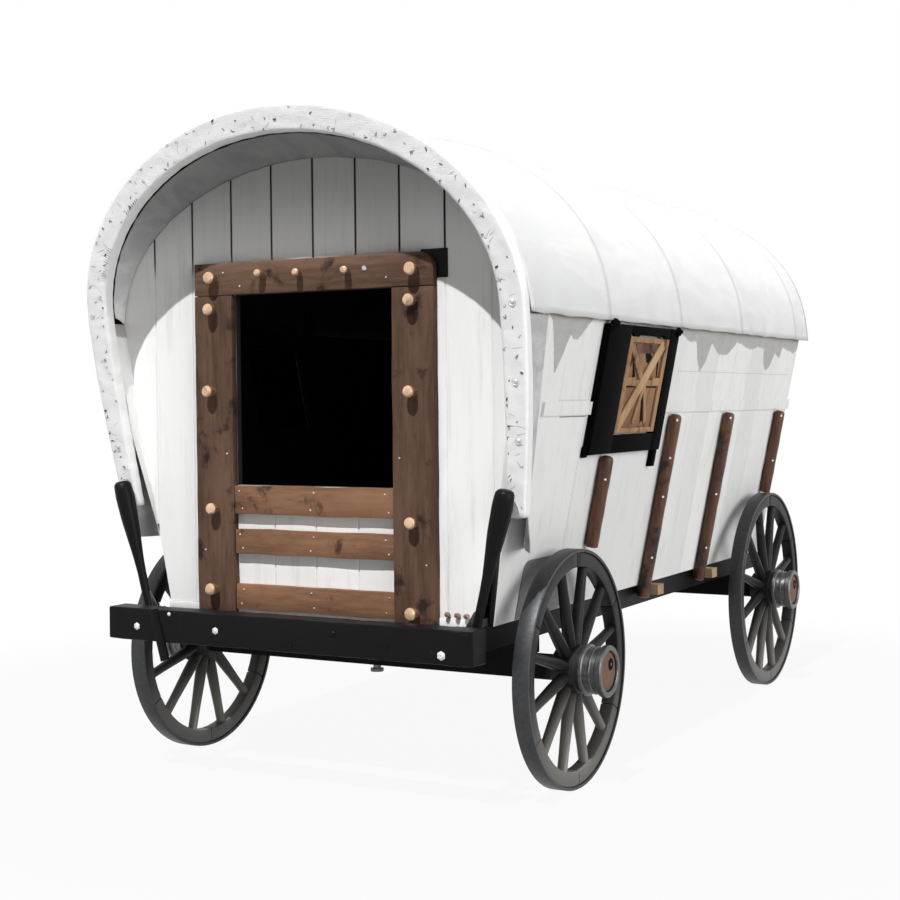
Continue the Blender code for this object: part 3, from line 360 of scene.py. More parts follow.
print("helpers for edit mode ready")

# %% [markdown]
# ## Blocks, towers and boards
# Most wooden pieces start as a cube whose edges are worn round with a bevel. Turned pieces such as hubs, pegs and
# spokes start as a circle that is extruded ring by ring, each ring scaled to its own width and depth. A lathe-like
# Screw modifier would do for round pieces, but not for oval spokes, so one helper does both.


# %% Blocks and towers
def block(name, low, high, bevel=0.003, segments=2):
    """A box between two corners with its edges rounded."""
    low, high = Vector(low), Vector(high)
    deselect()
    bpy.ops.mesh.primitive_cube_add(size=1.0, location=(low + high) / 2, scale=high - low)
    obj = bpy.context.object
    obj.name = name
    settle(obj)
    if bevel:
        open_edit()
        bpy.ops.mesh.bevel(offset=bevel, segments=segments, affect="EDGES")
        bpy.ops.object.mode_set(mode="OBJECT")
    return obj


def tower(name, rings, parts, ring_shaped=False):
    """Rings of (height, half width, half depth) from the ground up. A ring-shaped piece joins last to first."""
    deselect()
    height, wide, deep = rings[0]
    bpy.ops.mesh.primitive_circle_add(vertices=parts, radius=1.0, fill_type="NOTHING", location=(0, 0, height))
    obj = bpy.context.object
    obj.name = name
    obj.scale = (wide, deep, 1.0)
    settle(obj)
    open_edit()
    for new_height, new_wide, new_deep in rings[1:]:
        bpy.ops.mesh.extrude_edges_move(TRANSFORM_OT_translate={"value": (0.0, 0.0, new_height - height)})
        bpy.ops.transform.resize(value=(new_wide / wide, new_deep / deep, 1.0),
                                 center_override=(0.0, 0.0, new_height))
        height, wide, deep = new_height, new_wide, new_deep
    select_rim()
    if ring_shaped:
        bpy.ops.mesh.bridge_edge_loops()
    else:
        bpy.ops.mesh.edge_face_add()
    close_edit()
    return obj


def turned(name, profile, parts, ring_shaped=False):
    """A round piece from (radius, height) pairs."""
    return tower(name, [(height, radius, radius) for radius, height in profile], parts, ring_shaped)


# %% Boards that follow the flared wall
# In wall coordinates X is the distance out from the wall's face, and the shear leans it with the flare.
ON_WALL = Matrix(((1.0, 0.0, FLARE, HALF_BOTTOM - FLARE * WALL_LOW.z),
                  (0.0, 1.0, 0.0, 0.0), (0.0, 0.0, 1.0, 0.0), (0.0, 0.0, 0.0, 1.0)))


def wall_board(name, depths, stations, heights, bevel=0.003):
    """A board against the right side wall."""
    obj = block(name, (depths[0], at(stations[0]), heights[0]), (depths[1], at(stations[1]), heights[1]), bevel)
    return settle(obj, ON_WALL)


def roughened(obj, amount, size, seed=0):
    """Move every vertex a little along a smooth noise, as old hand-cut wood has no straight edge."""
    shift = Vector((seed * 7.3, seed * 3.1, seed * 5.7))
    for vert in obj.data.vertices:
        vert.co += noise.noise_vector((vert.co + shift) / size) * amount
    return obj


print("wall lean:", [round(v, 4) for v in ON_WALL[0]])

# %% [markdown]
# ## Finishes
# Grain, stains and weave are used by many finishes, so each is a node group with named inputs. A group gives back
# only masks and heights, and the shader stays in the material.


# %% Node groups
def effect(name, inputs, outputs):
    """A new shader group with its own inputs and outputs."""
    group = bpy.data.node_groups.new(name, "ShaderNodeTree")
    for socket, kind, value in inputs:
        made = group.interface.new_socket(name=socket, in_out="INPUT", socket_type="NodeSocket" + kind)
        if value is not None:
            made.default_value = value
    for socket, kind in outputs:
        group.interface.new_socket(name=socket, in_out="OUTPUT", socket_type="NodeSocket" + kind)
    return group, group.nodes.new("NodeGroupInput"), group.nodes.new("NodeGroupOutput")


def feed(tree, socket, value):
    """Give a socket a number, a colour or what another node puts out."""
    if isinstance(value, (int, float)):
        socket.default_value = value
    elif isinstance(value, tuple):
        socket.default_value = (*value, 1.0)
    else:
        tree.links.new(value, socket)


def add_math(tree, operation, *values):
    """A Math node fed by sockets or numbers."""
    node = tree.nodes.new("ShaderNodeMath")
    node.operation = operation
    for socket, value in zip(node.inputs, values):
        feed(tree, socket, value)
    return node.outputs[0]


def times(tree, first, *others):
    """The product of sockets and numbers."""
    for other in others:
        first = add_math(tree, "MULTIPLY", first, other)
    return first


def between(tree, value, low, high):
    """1 where a value is over one number and under another."""
    return times(tree, add_math(tree, "GREATER_THAN", value, low), add_math(tree, "LESS_THAN", value, high))


def add_noise(tree, vector, scale, detail=4.0, rough=0.55, distortion=0.0):
    """A Noise texture's value."""
    node = tree.nodes.new("ShaderNodeTexNoise")
    for name, value in (("Vector", vector), ("Scale", scale), ("Detail", detail), ("Roughness", rough),
                        ("Distortion", distortion)):
        feed(tree, node.inputs[name], value)
    return node.outputs["Fac"]


def add_range(tree, value, low, high, to_low=0.0, to_high=1.0, soft=True):
    """A value moved from one range to another, with soft or straight ends."""
    node = tree.nodes.new("ShaderNodeMapRange")
    node.interpolation_type = "SMOOTHSTEP" if soft else "LINEAR"
    for name, number in (("Value", value), ("From Min", low), ("From Max", high), ("To Min", to_low),
                         ("To Max", to_high)):
        feed(tree, node.inputs[name], number)
    return node.outputs["Result"]


# Grain: long streaks and finer fibres in coordinates that are already stretched along the wood.
GRAIN, given, back = effect("grain", [("Vector", "Vector", None), ("Streak", "Float", 6.0),
                                      ("Fibre", "Float", 40.0)], [("Tone", "Float"), ("Height", "Float")])
streak = add_noise(GRAIN, given.outputs["Vector"], given.outputs["Streak"], 5.0, 0.6, 0.6)
fibre = add_noise(GRAIN, given.outputs["Vector"], given.outputs["Fibre"], 3.0, 0.7)
tone = add_math(GRAIN, "ADD", times(GRAIN, streak, 0.65), times(GRAIN, fibre, 0.35))
GRAIN.links.new(add_range(GRAIN, tone, 0.34, 0.66), back.inputs["Tone"])
GRAIN.links.new(tone, back.inputs["Height"])

# Stains: soft islands of dirt, with a share of the surface that they cover.
STAINS, given, back = effect("stains", [("Vector", "Vector", None), ("Size", "Float", 4.0),
                                        ("Cover", "Float", 0.3)], [("Mask", "Float")])
island = add_noise(STAINS, given.outputs["Vector"], given.outputs["Size"], 6.0, 0.62, 0.3)
edge = add_math(STAINS, "SUBTRACT", 0.72, times(STAINS, given.outputs["Cover"], 0.4))
top = add_math(STAINS, "ADD", edge, 0.12)
STAINS.links.new(add_range(STAINS, island, edge, top), back.inputs["Mask"])

# Weave: crossing threads of canvas, with slubs that make some threads thicker.
WEAVE, given, back = effect("weave", [("Vector", "Vector", None), ("Threads", "Float", 260.0)],
                            [("Height", "Float"), ("Tone", "Float")])
heights = []
for direction in ("X", "Y", "Z"):
    wave = WEAVE.nodes.new("ShaderNodeTexWave")
    wave.bands_direction = direction
    wave.inputs["Distortion"].default_value = 1.2
    wave.inputs["Detail"].default_value = 1.0
    WEAVE.links.new(given.outputs["Vector"], wave.inputs["Vector"])
    WEAVE.links.new(given.outputs["Threads"], wave.inputs["Scale"])
    heights.append(wave.outputs["Fac"])
total = add_math(WEAVE, "ADD", add_math(WEAVE, "ADD", heights[0], heights[1]), heights[2])
WEAVE.links.new(times(WEAVE, total, 0.33), back.inputs["Height"])
WEAVE.links.new(add_noise(WEAVE, given.outputs["Vector"], 9.0, 5.0, 0.6), back.inputs["Tone"])

# Boards: a value that is different for each board of a width, and the thin dark line between two boards.
BOARDS, given, back = effect("boards", [("Place", "Float", 0.0), ("Width", "Float", 0.19), ("Gap", "Float", 0.006)],
                             [("Tone", "Float"), ("Joint", "Float")])
count = add_math(BOARDS, "DIVIDE", given.outputs["Place"], given.outputs["Width"])
chance = BOARDS.nodes.new("ShaderNodeTexWhiteNoise")
chance.noise_dimensions = "1D"
BOARDS.links.new(add_math(BOARDS, "FLOOR", count), chance.inputs["W"])
BOARDS.links.new(chance.outputs["Value"], back.inputs["Tone"])
near = add_math(BOARDS, "ABSOLUTE", add_math(BOARDS, "SUBTRACT", add_math(BOARDS, "FRACT", add_math(
    BOARDS, "ADD", count, 0.5)), 0.5))
near = times(BOARDS, near, given.outputs["Width"])
half_gap = times(BOARDS, given.outputs["Gap"], 0.5)
BOARDS.links.new(add_range(BOARDS, near, 0.0, half_gap, 1.0, 0.0), back.inputs["Joint"])
print("groups:", [g.name for g in (GRAIN, STAINS, WEAVE, BOARDS)])


# %% A base for every finish
def new_finish(name, roughness, metallic=0.0, specular=0.35):
    """A material with its constants on the shader's own sockets, and stretched Object coordinates."""
    made = bpy.data.materials.new(name)
    made.use_nodes = True
    shader = made.node_tree.nodes["Principled BSDF"]
    shader.inputs["Roughness"].default_value = roughness
    shader.inputs["Metallic"].default_value = metallic
    shader.inputs["Specular IOR Level"].default_value = specular
    return made, made.node_tree, shader


def placed_by(tree, scale=(1.0, 1.0, 1.0)):
    """Object coordinates, stretched."""
    coordinates = tree.nodes.new("ShaderNodeTexCoord")
    mapping = tree.nodes.new("ShaderNodeMapping")
    mapping.inputs["Scale"].default_value = scale
    tree.links.new(coordinates.outputs["Object"], mapping.inputs["Vector"])
    return mapping.outputs["Vector"]


def object_axes(tree):
    """Object coordinates as three sockets, X, Y and Z."""
    coordinates = tree.nodes.new("ShaderNodeTexCoord")
    axes = tree.nodes.new("ShaderNodeSeparateXYZ")
    tree.links.new(coordinates.outputs["Object"], axes.inputs[0])
    return axes.outputs


def use_group(tree, group, vector, **values):
    """A node of one of the groups, fed with a vector and values."""
    node = tree.nodes.new("ShaderNodeGroup")
    node.node_tree = group
    if vector is not None:
        tree.links.new(vector, node.inputs["Vector"])
    for socket, value in values.items():
        feed(tree, node.inputs[socket], value)
    return node.outputs


def mixed(tree, share, first, second):
    """A colour mixed from two colours or sockets."""
    node = tree.nodes.new("ShaderNodeMix")
    node.data_type = "RGBA"
    for number, value in ((0, share), (6, first), (7, second)):
        feed(tree, node.inputs[number], value)
    return node.outputs[2]


def bumped(tree, shader, *layers):
    """Feed (height, metres) layers to the shader as bumps, the coarse one first."""
    under = None
    for height, depth in layers:
        node = tree.nodes.new("ShaderNodeBump")
        node.inputs["Distance"].default_value = depth
        tree.links.new(height, node.inputs["Height"])
        if under:
            tree.links.new(under, node.inputs["Normal"])
        under = node.outputs["Normal"]
    tree.links.new(under, shader.inputs["Normal"])


BLACK = (0.0, 0.0, 0.0)
LENGTHWISE = {"X": (0.12, 1.0, 1.0), "Y": (1.0, 0.12, 1.0), "Z": (1.0, 1.0, 0.12)}


def behind_wall(tree, depth):
    """1 nearer to the middle of the wagon than a plane beside the leaning wall's outer face."""
    axes = object_axes(tree)
    sideways = add_math(tree, "ABSOLUTE", axes["X"])
    there = add_math(tree, "SUBTRACT", sideways, times(tree, axes["Z"], FLARE))
    return add_math(tree, "LESS_THAN", there, HALF_BOTTOM - FLARE * WALL_LOW.z + depth)


SHUTTER_BACK = 0.0055        # metres outside the wall's face, within which a shutter's back is painted dark: painted shade
SHUTTER_BACK_SHADE = (0.010, 0.009, 0.008)
TIP_FADE = 0.008             # metres over which a peg's end, painted pale as painted light, gives way to its sides painted dark as painted shade


def wood(name, pale, dark, along, stain=(0.02, 0.02, 0.02), cover=0.25, roughness=0.7, depth=0.002, streak=9.0,
         along_wall=False, specular=0.08, painted_light_tip=None):
    """Grained wood that runs along one axis, with stains of a third colour and, on a wall, a back painted dark as
    painted shade.

    tip is a place along Y and the colour that a peg's sides have behind it: the end is painted pale as painted light,
    the sides dark as painted shade.
    """
    made, tree, shader = new_finish(name, roughness, 0.0, specular)
    vector = placed_by(tree, LENGTHWISE[along])
    grain = use_group(tree, GRAIN, vector, Streak=streak, Fibre=streak * 7)
    dirt = use_group(tree, STAINS, placed_by(tree), Size=7.0, Cover=cover)
    colour = mixed(tree, grain["Tone"], dark, pale)
    colour = mixed(tree, dirt["Mask"], colour, stain)
    # Near the wall a shutter's back is painted dark: painted shade.
    if along_wall:
        colour = mixed(tree, behind_wall(tree, SHUTTER_BACK), colour, SHUTTER_BACK_SHADE)
    # A peg's end keeps the pale colour as painted light, and its sides are painted dark as painted shade.
    if painted_light_tip:
        place, shaded_side_colour = painted_light_tip
        colour = mixed(tree, add_range(tree, object_axes(tree)["Y"], place - TIP_FADE, place), colour, shaded_side_colour)
    tree.links.new(colour, shader.inputs["Base Color"])
    tree.links.new(add_range(tree, grain["Tone"], 0.0, 1.0, roughness + 0.12, roughness - 0.08),
                   shader.inputs["Roughness"])
    bumped(tree, shader, (grain["Height"], depth))
    return made


def scaled(colour, share):
    """A colour made lighter or darker."""
    return tuple(share * channel for channel in colour)


# The door's head and its posts are the same brown wood, with the grain along each and the head a little paler.
BROWN_PALE, BROWN_DARK = (0.150, 0.088, 0.060), (0.072, 0.042, 0.030)
BROWN = {axis: wood("brown_wood_" + axis, scaled(BROWN_PALE, share), scaled(BROWN_DARK, share), axis,
                    (0.030, 0.020, 0.016), 0.42) for axis, share in (("X", 1.22), ("Z", 0.94))}
SLAT_WOOD = wood("slat_wood", (0.27, 0.143, 0.082), (0.145, 0.077, 0.046), "X", (0.06, 0.036, 0.025), 0.40)
SHUTTER_WOOD = wood("shutter_wood", (0.34, 0.195, 0.110), (0.20, 0.112, 0.064), "Z", (0.05, 0.030, 0.020), 0.40,
                    along_wall=True)
BRACE_WOOD = wood("brace_wood", (0.56, 0.37, 0.215), (0.38, 0.235, 0.13), "Z", (0.14, 0.08, 0.045), 0.25)
# Peg ends are painted pale as lit and their sides dark as shaded: painted light and painted shade.
PEG_WOOD = wood("peg_wood", (0.74, 0.50, 0.32), (0.50, 0.30, 0.18), "Y", (0.16, 0.09, 0.05), 0.30, 0.26, 0.001, 20.0,
                specular=1.0, painted_light_tip=(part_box("door_head")[1].y - 0.064, (0.190, 0.100, 0.055)))
STAKE_WOOD = wood("stake_wood", (0.150, 0.058, 0.026), (0.050, 0.020, 0.011), "Z", (0.014, 0.009, 0.007), 0.42, 0.36,
                  specular=0.35)
BORDER_WOOD = wood("border_wood", (0.46, 0.285, 0.165), (0.27, 0.155, 0.088), "Z", (0.07, 0.040, 0.025), 0.40)
SILL_WOOD = wood("sill_wood", (0.50, 0.37, 0.23), (0.33, 0.23, 0.14), "X", (0.10, 0.07, 0.05), 0.35)
# The floor and the bows inside the wagon are made dark: painted shade of the inside.
FLOOR_WOOD_SHADED = wood("floor_wood_painted_shade", (0.10, 0.075, 0.055), (0.05, 0.038, 0.03), "Y", (0.02, 0.018, 0.016), 0.5)
BOW_WOOD_SHADED = wood("bow_wood_painted_shade", (0.050, 0.036, 0.025), (0.030, 0.021, 0.014), "X", (0.012, 0.010, 0.008), 0.4)
print("woods:", len([m for m in bpy.data.materials if "wood" in m.name]))

# %% [markdown]
# ## Black paint, painted wood and iron
# The beam and the window frame are painted black and scratched pale along their faces. The wheels are painted
# wood gone grey, and the iron of tyres and hubs is dark with rust in its corners.


# %% Paint and iron
def height_ramp(tree, low, high, share):
    """0 below a height, rising to a share at another; it places the painted shade under the hood and the paler colour
    towards the ground.
    """
    return add_range(tree, object_axes(tree)["Z"], low, high, 0.0, share)


PALER_BELOW = (0.08, 0.46, 0.8)     # heights between which the paler colour fades out, and its share at the ground
IRON_PITS = 0.0008


def paint(name, colour, worn, wear, roughness=0.42, depth=0.0012, streak=(0.25, 1.0, 1.0), specular=0.10,
          paler_below=None, blots=0.5):
    """Old paint with long scratches and blots of a worn colour, and a paler third colour towards the ground."""
    made, tree, shader = new_finish(name, roughness, 0.0, specular)
    scratch = add_range(tree, add_noise(tree, placed_by(tree, streak), 26.0, 6.0, 0.72, 0.4), 0.66 - 0.1 * wear, 0.74)
    blot = use_group(tree, STAINS, placed_by(tree), Size=14.0, Cover=wear)
    cloudy = add_noise(tree, placed_by(tree), 5.0, 5.0, 0.6)
    ground = mixed(tree, cloudy, scaled(colour, 0.6), scaled(colour, 1.4))
    share = add_math(tree, "MAXIMUM", scratch, times(tree, blot["Mask"], blots))
    ground = mixed(tree, share, ground, worn)
    # The paint turns paler towards the ground.
    if paler_below:
        low, high, most = PALER_BELOW
        ground = mixed(tree, add_math(tree, "SUBTRACT", most, height_ramp(tree, low, high, most)), ground, paler_below)
    tree.links.new(ground, shader.inputs["Base Color"])
    tree.links.new(add_range(tree, share, 0.0, 1.0, roughness, 0.75), shader.inputs["Roughness"])
    bumped(tree, shader, (add_math(tree, "SUBTRACT", cloudy, times(tree, share, 0.5)), depth))
    return made


def metal(name, colour, rust, cover, roughness=0.45, metallic=0.7):
    """Dark iron with pits and rust."""
    made, tree, shader = new_finish(name, roughness, metallic)
    pits = add_noise(tree, placed_by(tree), 60.0, 4.0, 0.65)
    spread = use_group(tree, STAINS, placed_by(tree), Size=16.0, Cover=cover)
    ground = mixed(tree, pits, scaled(colour, 0.55), scaled(colour, 1.45))
    tree.links.new(mixed(tree, spread["Mask"], ground, rust), shader.inputs["Base Color"])
    tree.links.new(add_range(tree, spread["Mask"], 0.0, 1.0, metallic, 0.1), shader.inputs["Metallic"])
    tree.links.new(add_range(tree, spread["Mask"], 0.0, 1.0, roughness, 0.9), shader.inputs["Roughness"])
    bumped(tree, shader, (pits, IRON_PITS))
    return made


BLACK_PAINT = paint("black_paint", (0.0045, 0.0045, 0.005), (0.050, 0.048, 0.046), 0.22, 0.45)
FRAME_PAINT = paint("frame_paint", (0.0022, 0.0022, 0.0025), (0.016, 0.015, 0.0145), 0.12, 0.7, specular=0.02)
WHEEL_PAINT = paint("wheel_paint", (0.017, 0.017, 0.018), (0.075, 0.073, 0.070), 0.30, 0.45, specular=0.15,
                    paler_below=(0.175, 0.170, 0.158), blots=0.25)
SPOKE_PAINT = paint("spoke_paint", (0.016, 0.016, 0.016), (0.090, 0.086, 0.080), 0.35, 0.45, specular=0.15,
                    paler_below=(0.280, 0.270, 0.245), blots=0.25)
LEVER_PAINT = paint("lever_paint", (0.0045, 0.0045, 0.005), (0.040, 0.036, 0.032), 0.25, 0.42, 0.0012,
                    (1.0, 1.0, 0.25))
UNDER_PAINT = paint("under_paint", (0.006, 0.006, 0.006), (0.025, 0.020, 0.017), 0.3, 0.7)
TYRE_IRON = metal("tyre_iron", (0.050, 0.051, 0.053), (0.060, 0.034, 0.022), 0.20)
HUB_IRON = metal("hub_iron", (0.110, 0.110, 0.113), (0.090, 0.060, 0.045), 0.20, 0.30, 0.85)
RUST_IRON = metal("rust_iron", (0.155, 0.085, 0.058), (0.240, 0.115, 0.065), 0.5, 0.65, 0.30)
NAIL_STEEL = metal("nail_steel", (0.60, 0.60, 0.61), (0.20, 0.13, 0.09), 0.2, 0.30, 0.9)
BOLT_STEEL = metal("bolt_steel", (0.72, 0.72, 0.73), (0.30, 0.27, 0.25), 0.1, 0.45, 0.5)
GREY_SHEET = metal("grey_sheet", (0.200, 0.202, 0.206), (0.12, 0.105, 0.095), 0.2, 0.55, 0.35)
# Near black for holes and gaps, standing for the shade inside them: painted shade.
SHADE_BLACK = (0.003, 0.003, 0.003)
SHADE_BLACK_PAINT = paint("shade_black_paint", SHADE_BLACK, (0.006, 0.006, 0.006), 0.1, 0.9)
print("paints and metals ready")

# %% [markdown]
# ## Canvas finishes
# The cover is heavy white canvas: a fine weave, soft grey painted shade in the hollows of its creases, and a few
# stains. Its underside is the same cloth, painted nearly black as painted shade of the dark inside of the wagon. The
# lining is painted darker towards its top, and the cheeks grey: painted shade as well.


# %% Canvas
THREADS = 260.0
RIDGE_PAINTED_SHADE, SEAM_LINE = (0.40, 0.40, 0.40), (0.22, 0.22, 0.22)


def canvas(name, light, cloud, stain, cover, depth=0.0005, crease=0.004, painted_shade=None, seams=()):
    """Woven canvas with soft stains, painted greyer in the hollows of its creases; painted shade darkens it between
    two heights, down to a share.
    """
    made, tree, shader = new_finish(name, 0.92, 0.0, 0.15)
    shader.inputs["Sheen Weight"].default_value = 0.05
    vector = placed_by(tree)
    weave = use_group(tree, WEAVE, vector, Threads=THREADS)
    spots = use_group(tree, STAINS, vector, Size=5.0, Cover=cover)
    wrinkle = add_noise(tree, placed_by(tree, (1.0, 0.5, 1.2)), 5.0, 5.0, 0.55, 1.4)
    # The cloth is painted greyer in the hollows of its creases: painted shade.
    shade = add_range(tree, wrinkle, 0.42, 0.60)
    colour = mixed(tree, shade, cloud, light)
    colour = mixed(tree, times(tree, spots["Mask"], 0.55), colour, stain)
    colour = mixed(tree, times(tree, weave["Height"], 0.05), colour, cloud)
    # Painted shade darkens the cloth towards the top of the hood.
    if painted_shade:
        colour = mixed(tree, height_ramp(tree, *painted_shade), colour, BLACK)
    for seam in seams:               # two widths of canvas are felled together over each bow along a thin seam line; the soft grey band beside it is painted shade
        away = add_math(tree, "ABSOLUTE", add_math(tree, "SUBTRACT", object_axes(tree)["Y"], at(seam)))
        # A soft grey band either side of a bow is painted shade of its ridge; the thin line is the seam.
        colour = mixed(tree, add_range(tree, away, 0.002, 0.030, 0.30, 0.0), colour, RIDGE_PAINTED_SHADE)
        colour = mixed(tree, add_range(tree, away, 0.0015, 0.0035, 0.35, 0.0), colour, SEAM_LINE)
    tree.links.new(colour, shader.inputs["Base Color"])
    tree.links.new(add_range(tree, weave["Tone"], 0.3, 0.7, 0.86, 0.96), shader.inputs["Roughness"])
    bumped(tree, shader, (wrinkle, crease), (weave["Height"], depth))
    return made


BOWS = (0.584, 1.374, 2.204, 3.100)      # stations of the four bows
COVER_CANVAS = canvas("cover_canvas", (0.76, 0.76, 0.755), (0.72, 0.722, 0.725), (0.62, 0.60, 0.57), 0.04,
                      crease=0.003, seams=BOWS)
ARCH_CANVAS = canvas("arch_canvas", (0.97, 0.97, 0.966), (0.94, 0.942, 0.945), (0.80, 0.79, 0.78), 0.02)
# The lining is painted darker towards its top: painted shade under the hood.
LINING_CANVAS = canvas("lining_canvas", (0.86, 0.86, 0.857), (0.72, 0.722, 0.726), (0.46, 0.45, 0.44), 0.20, 0.0005,
                       0.008, (1.80, 2.32, 0.62))
# The cheeks are the same cloth as the lining, painted grey: painted shade.
CHEEK_CANVAS_SHADED = canvas("cheek_canvas_painted_shade", (0.64, 0.64, 0.637), (0.50, 0.502, 0.506), (0.40, 0.39, 0.38), 0.15)
# The cover's underside is painted nearly black: painted shade of the inside.
UNDERSIDE_CANVAS_SHADED = canvas("underside_canvas_painted_shade", (0.03, 0.03, 0.03), (0.02, 0.02, 0.02), (0.012, 0.012, 0.012), 0.30)

# %% [markdown]
# ## White boards
# Walls are boards painted white: each board has its own tone, dirt runs down it, and the joints are dark. The
# inside of the wagon is painted nearly black as painted shade, so each wall turns dark behind its own middle plane.
# That plane is found from Object coordinates, with no need of another material on the same node. Under the hood,
# the front wall's top, joints and grooves are painted darker, and the doorway's edge as dark as the inside: painted
# shade.


# %% Painted boards
SHADE_EDGE = (1.96, 2.06)    # heights between which the hood's shade begins on the front wall
JOINT_IN_SUN = 0.10          # how dark a joint between two boards is below the shade
GROOVE_IN_SHADE = 0.92
RUNS, DIRT, GREY, JOINT_DARK = (0.55, 0.55, 0.545), (0.52, 0.49, 0.45), (0.45, 0.45, 0.45), (0.05, 0.048, 0.045)
GROOVE_PAINTED_SHADE, INSIDE_PAINTED_SHADE = (0.012, 0.012, 0.012), (0.018, 0.017, 0.016)


def painted_boards(name, across, plane, board=0.19, gap=0.007, inward=1.0, tint=(0.83, 0.828, 0.820),
                   joint=0.85, dirty=0.45, painted_shade=None, hole=None):
    """White boards side by side along one axis; beyond a plane along the other they are painted dark as painted shade.

    plane is where the painted shade of the inside starts: along Y for an end wall, whose boards lie side by side
    across the wagon, or out from the leaning face for a side wall. hole is the doorway, whose edge gets the same
    painted shade: half its width and two heights.
    """
    made, tree, shader = new_finish(name, 0.62)
    axes = object_axes(tree)
    boards = use_group(tree, BOARDS, None, Place=axes[across], Width=board, Gap=gap)
    streaks = add_noise(tree, placed_by(tree, (1.0, 1.0, 0.07)), 26.0, 5.0, 0.65, 0.2)
    grain = use_group(tree, GRAIN, placed_by(tree, (1.0, 1.0, 0.10)), Streak=10.0, Fibre=80.0)
    dirt = use_group(tree, STAINS, placed_by(tree, (1.0, 1.0, 0.45)), Size=6.0, Cover=0.22)
    pale = mixed(tree, boards["Tone"], scaled(tint, 0.93), scaled(tint, 1.05))
    colour = mixed(tree, add_range(tree, streaks, 0.50, 0.72, 0.0, 0.30), pale, RUNS)
    colour = mixed(tree, times(tree, dirt["Mask"], dirty), colour, DIRT)
    colour = mixed(tree, times(tree, grain["Tone"], 0.06), colour, GREY)
    # Under the hood the joints and grooves are painted darker and the wall's top is painted towards black: painted
    # shade.
    if painted_shade:
        shaded = height_ramp(tree, *SHADE_EDGE, 1.0)
        joint = add_math(tree, "ADD", JOINT_IN_SUN, times(tree, shaded, joint - JOINT_IN_SUN))
    colour = mixed(tree, times(tree, boards["Joint"], joint), colour, JOINT_DARK)
    if painted_shade:
        groove = add_math(tree, "GREATER_THAN", axes["Y"], FRONT_FACE + 0.0005)
        colour = mixed(tree, times(tree, groove, height_ramp(tree, *SHADE_EDGE, GROOVE_IN_SHADE)), colour, GROOVE_PAINTED_SHADE)
        colour = mixed(tree, height_ramp(tree, *painted_shade), colour, BLACK)
    # Behind a wall's middle plane the boards are painted nearly black: painted shade of the inside.
    if across == "Y":
        inside = times(tree, behind_wall(tree, plane), add_math(tree, "GREATER_THAN", axes["Y"], FRONT_FACE + 0.020))
    else:
        inside = add_math(tree, "GREATER_THAN" if inward > 0 else "LESS_THAN", axes["Y"], plane)
    if hole:                         # the edge of an opening is painted as dark as the inside: painted shade
        half, low, high = hole
        edge = times(tree, between(tree, axes["X"], -half, half), between(tree, axes["Z"], low, high))
        inside = add_math(tree, "MAXIMUM", inside, edge)
    tree.links.new(mixed(tree, inside, colour, INSIDE_PAINTED_SHADE), shader.inputs["Base Color"])
    tree.links.new(add_range(tree, grain["Tone"], 0.0, 1.0, 0.72, 0.52), shader.inputs["Roughness"])
    height = add_math(tree, "SUBTRACT", grain["Height"], times(tree, boards["Joint"], joint))
    bumped(tree, shader, (height, 0.002))
    return made


# The side walls' marks, all as stations and heights: the lower edge of the painted shadow under the canvas hem, a
# grey band with three long points, and thin seams of the sheathing.
HEM_SHADOW_EDGE = ((-0.06, 1.750), (0.03, 1.742), (0.09, 1.788), (0.131, 1.758), (0.178, 1.66), (0.215, 1.570),
             (0.262, 1.640), (0.30, 1.715), (0.37, 1.697), (0.49, 1.787), (0.60, 1.782), (1.20, 1.775),
             (1.436, 1.767), (1.583, 1.728), (1.665, 1.735), (1.72, 1.655), (1.775, 1.595), (1.835, 1.650),
             (1.875, 1.732), (1.986, 1.684), (2.117, 1.682), (2.243, 1.747), (2.449, 1.714), (2.567, 1.731),
             (2.665, 1.725), (2.70, 1.650), (2.755, 1.615), (2.815, 1.640), (2.868, 1.709), (2.957, 1.680),
             (2.980, 1.742), (3.191, 1.711), (3.26, 1.734))
SEAMS = (                    # along the wall from, to; height from, to; strength
    (1.490, 3.170, 1.5985, 1.6015, 0.30), (0.300, 0.560, 1.4755, 1.4785, 0.35), (0.330, 0.572, 1.4120, 1.4165, 0.75),
    (0.5715, 0.5745, 0.890, 1.720, 0.50), (0.5850, 0.5875, 0.890, 1.260, 0.35), (2.2490, 2.2520, 1.476, 1.700, 0.40),
    (2.3480, 2.3510, 0.700, 1.418, 0.28), (1.7480, 1.7505, 0.700, 1.418, 0.20), (0.0480, 0.0500, 0.700, 1.418, 0.18),
)


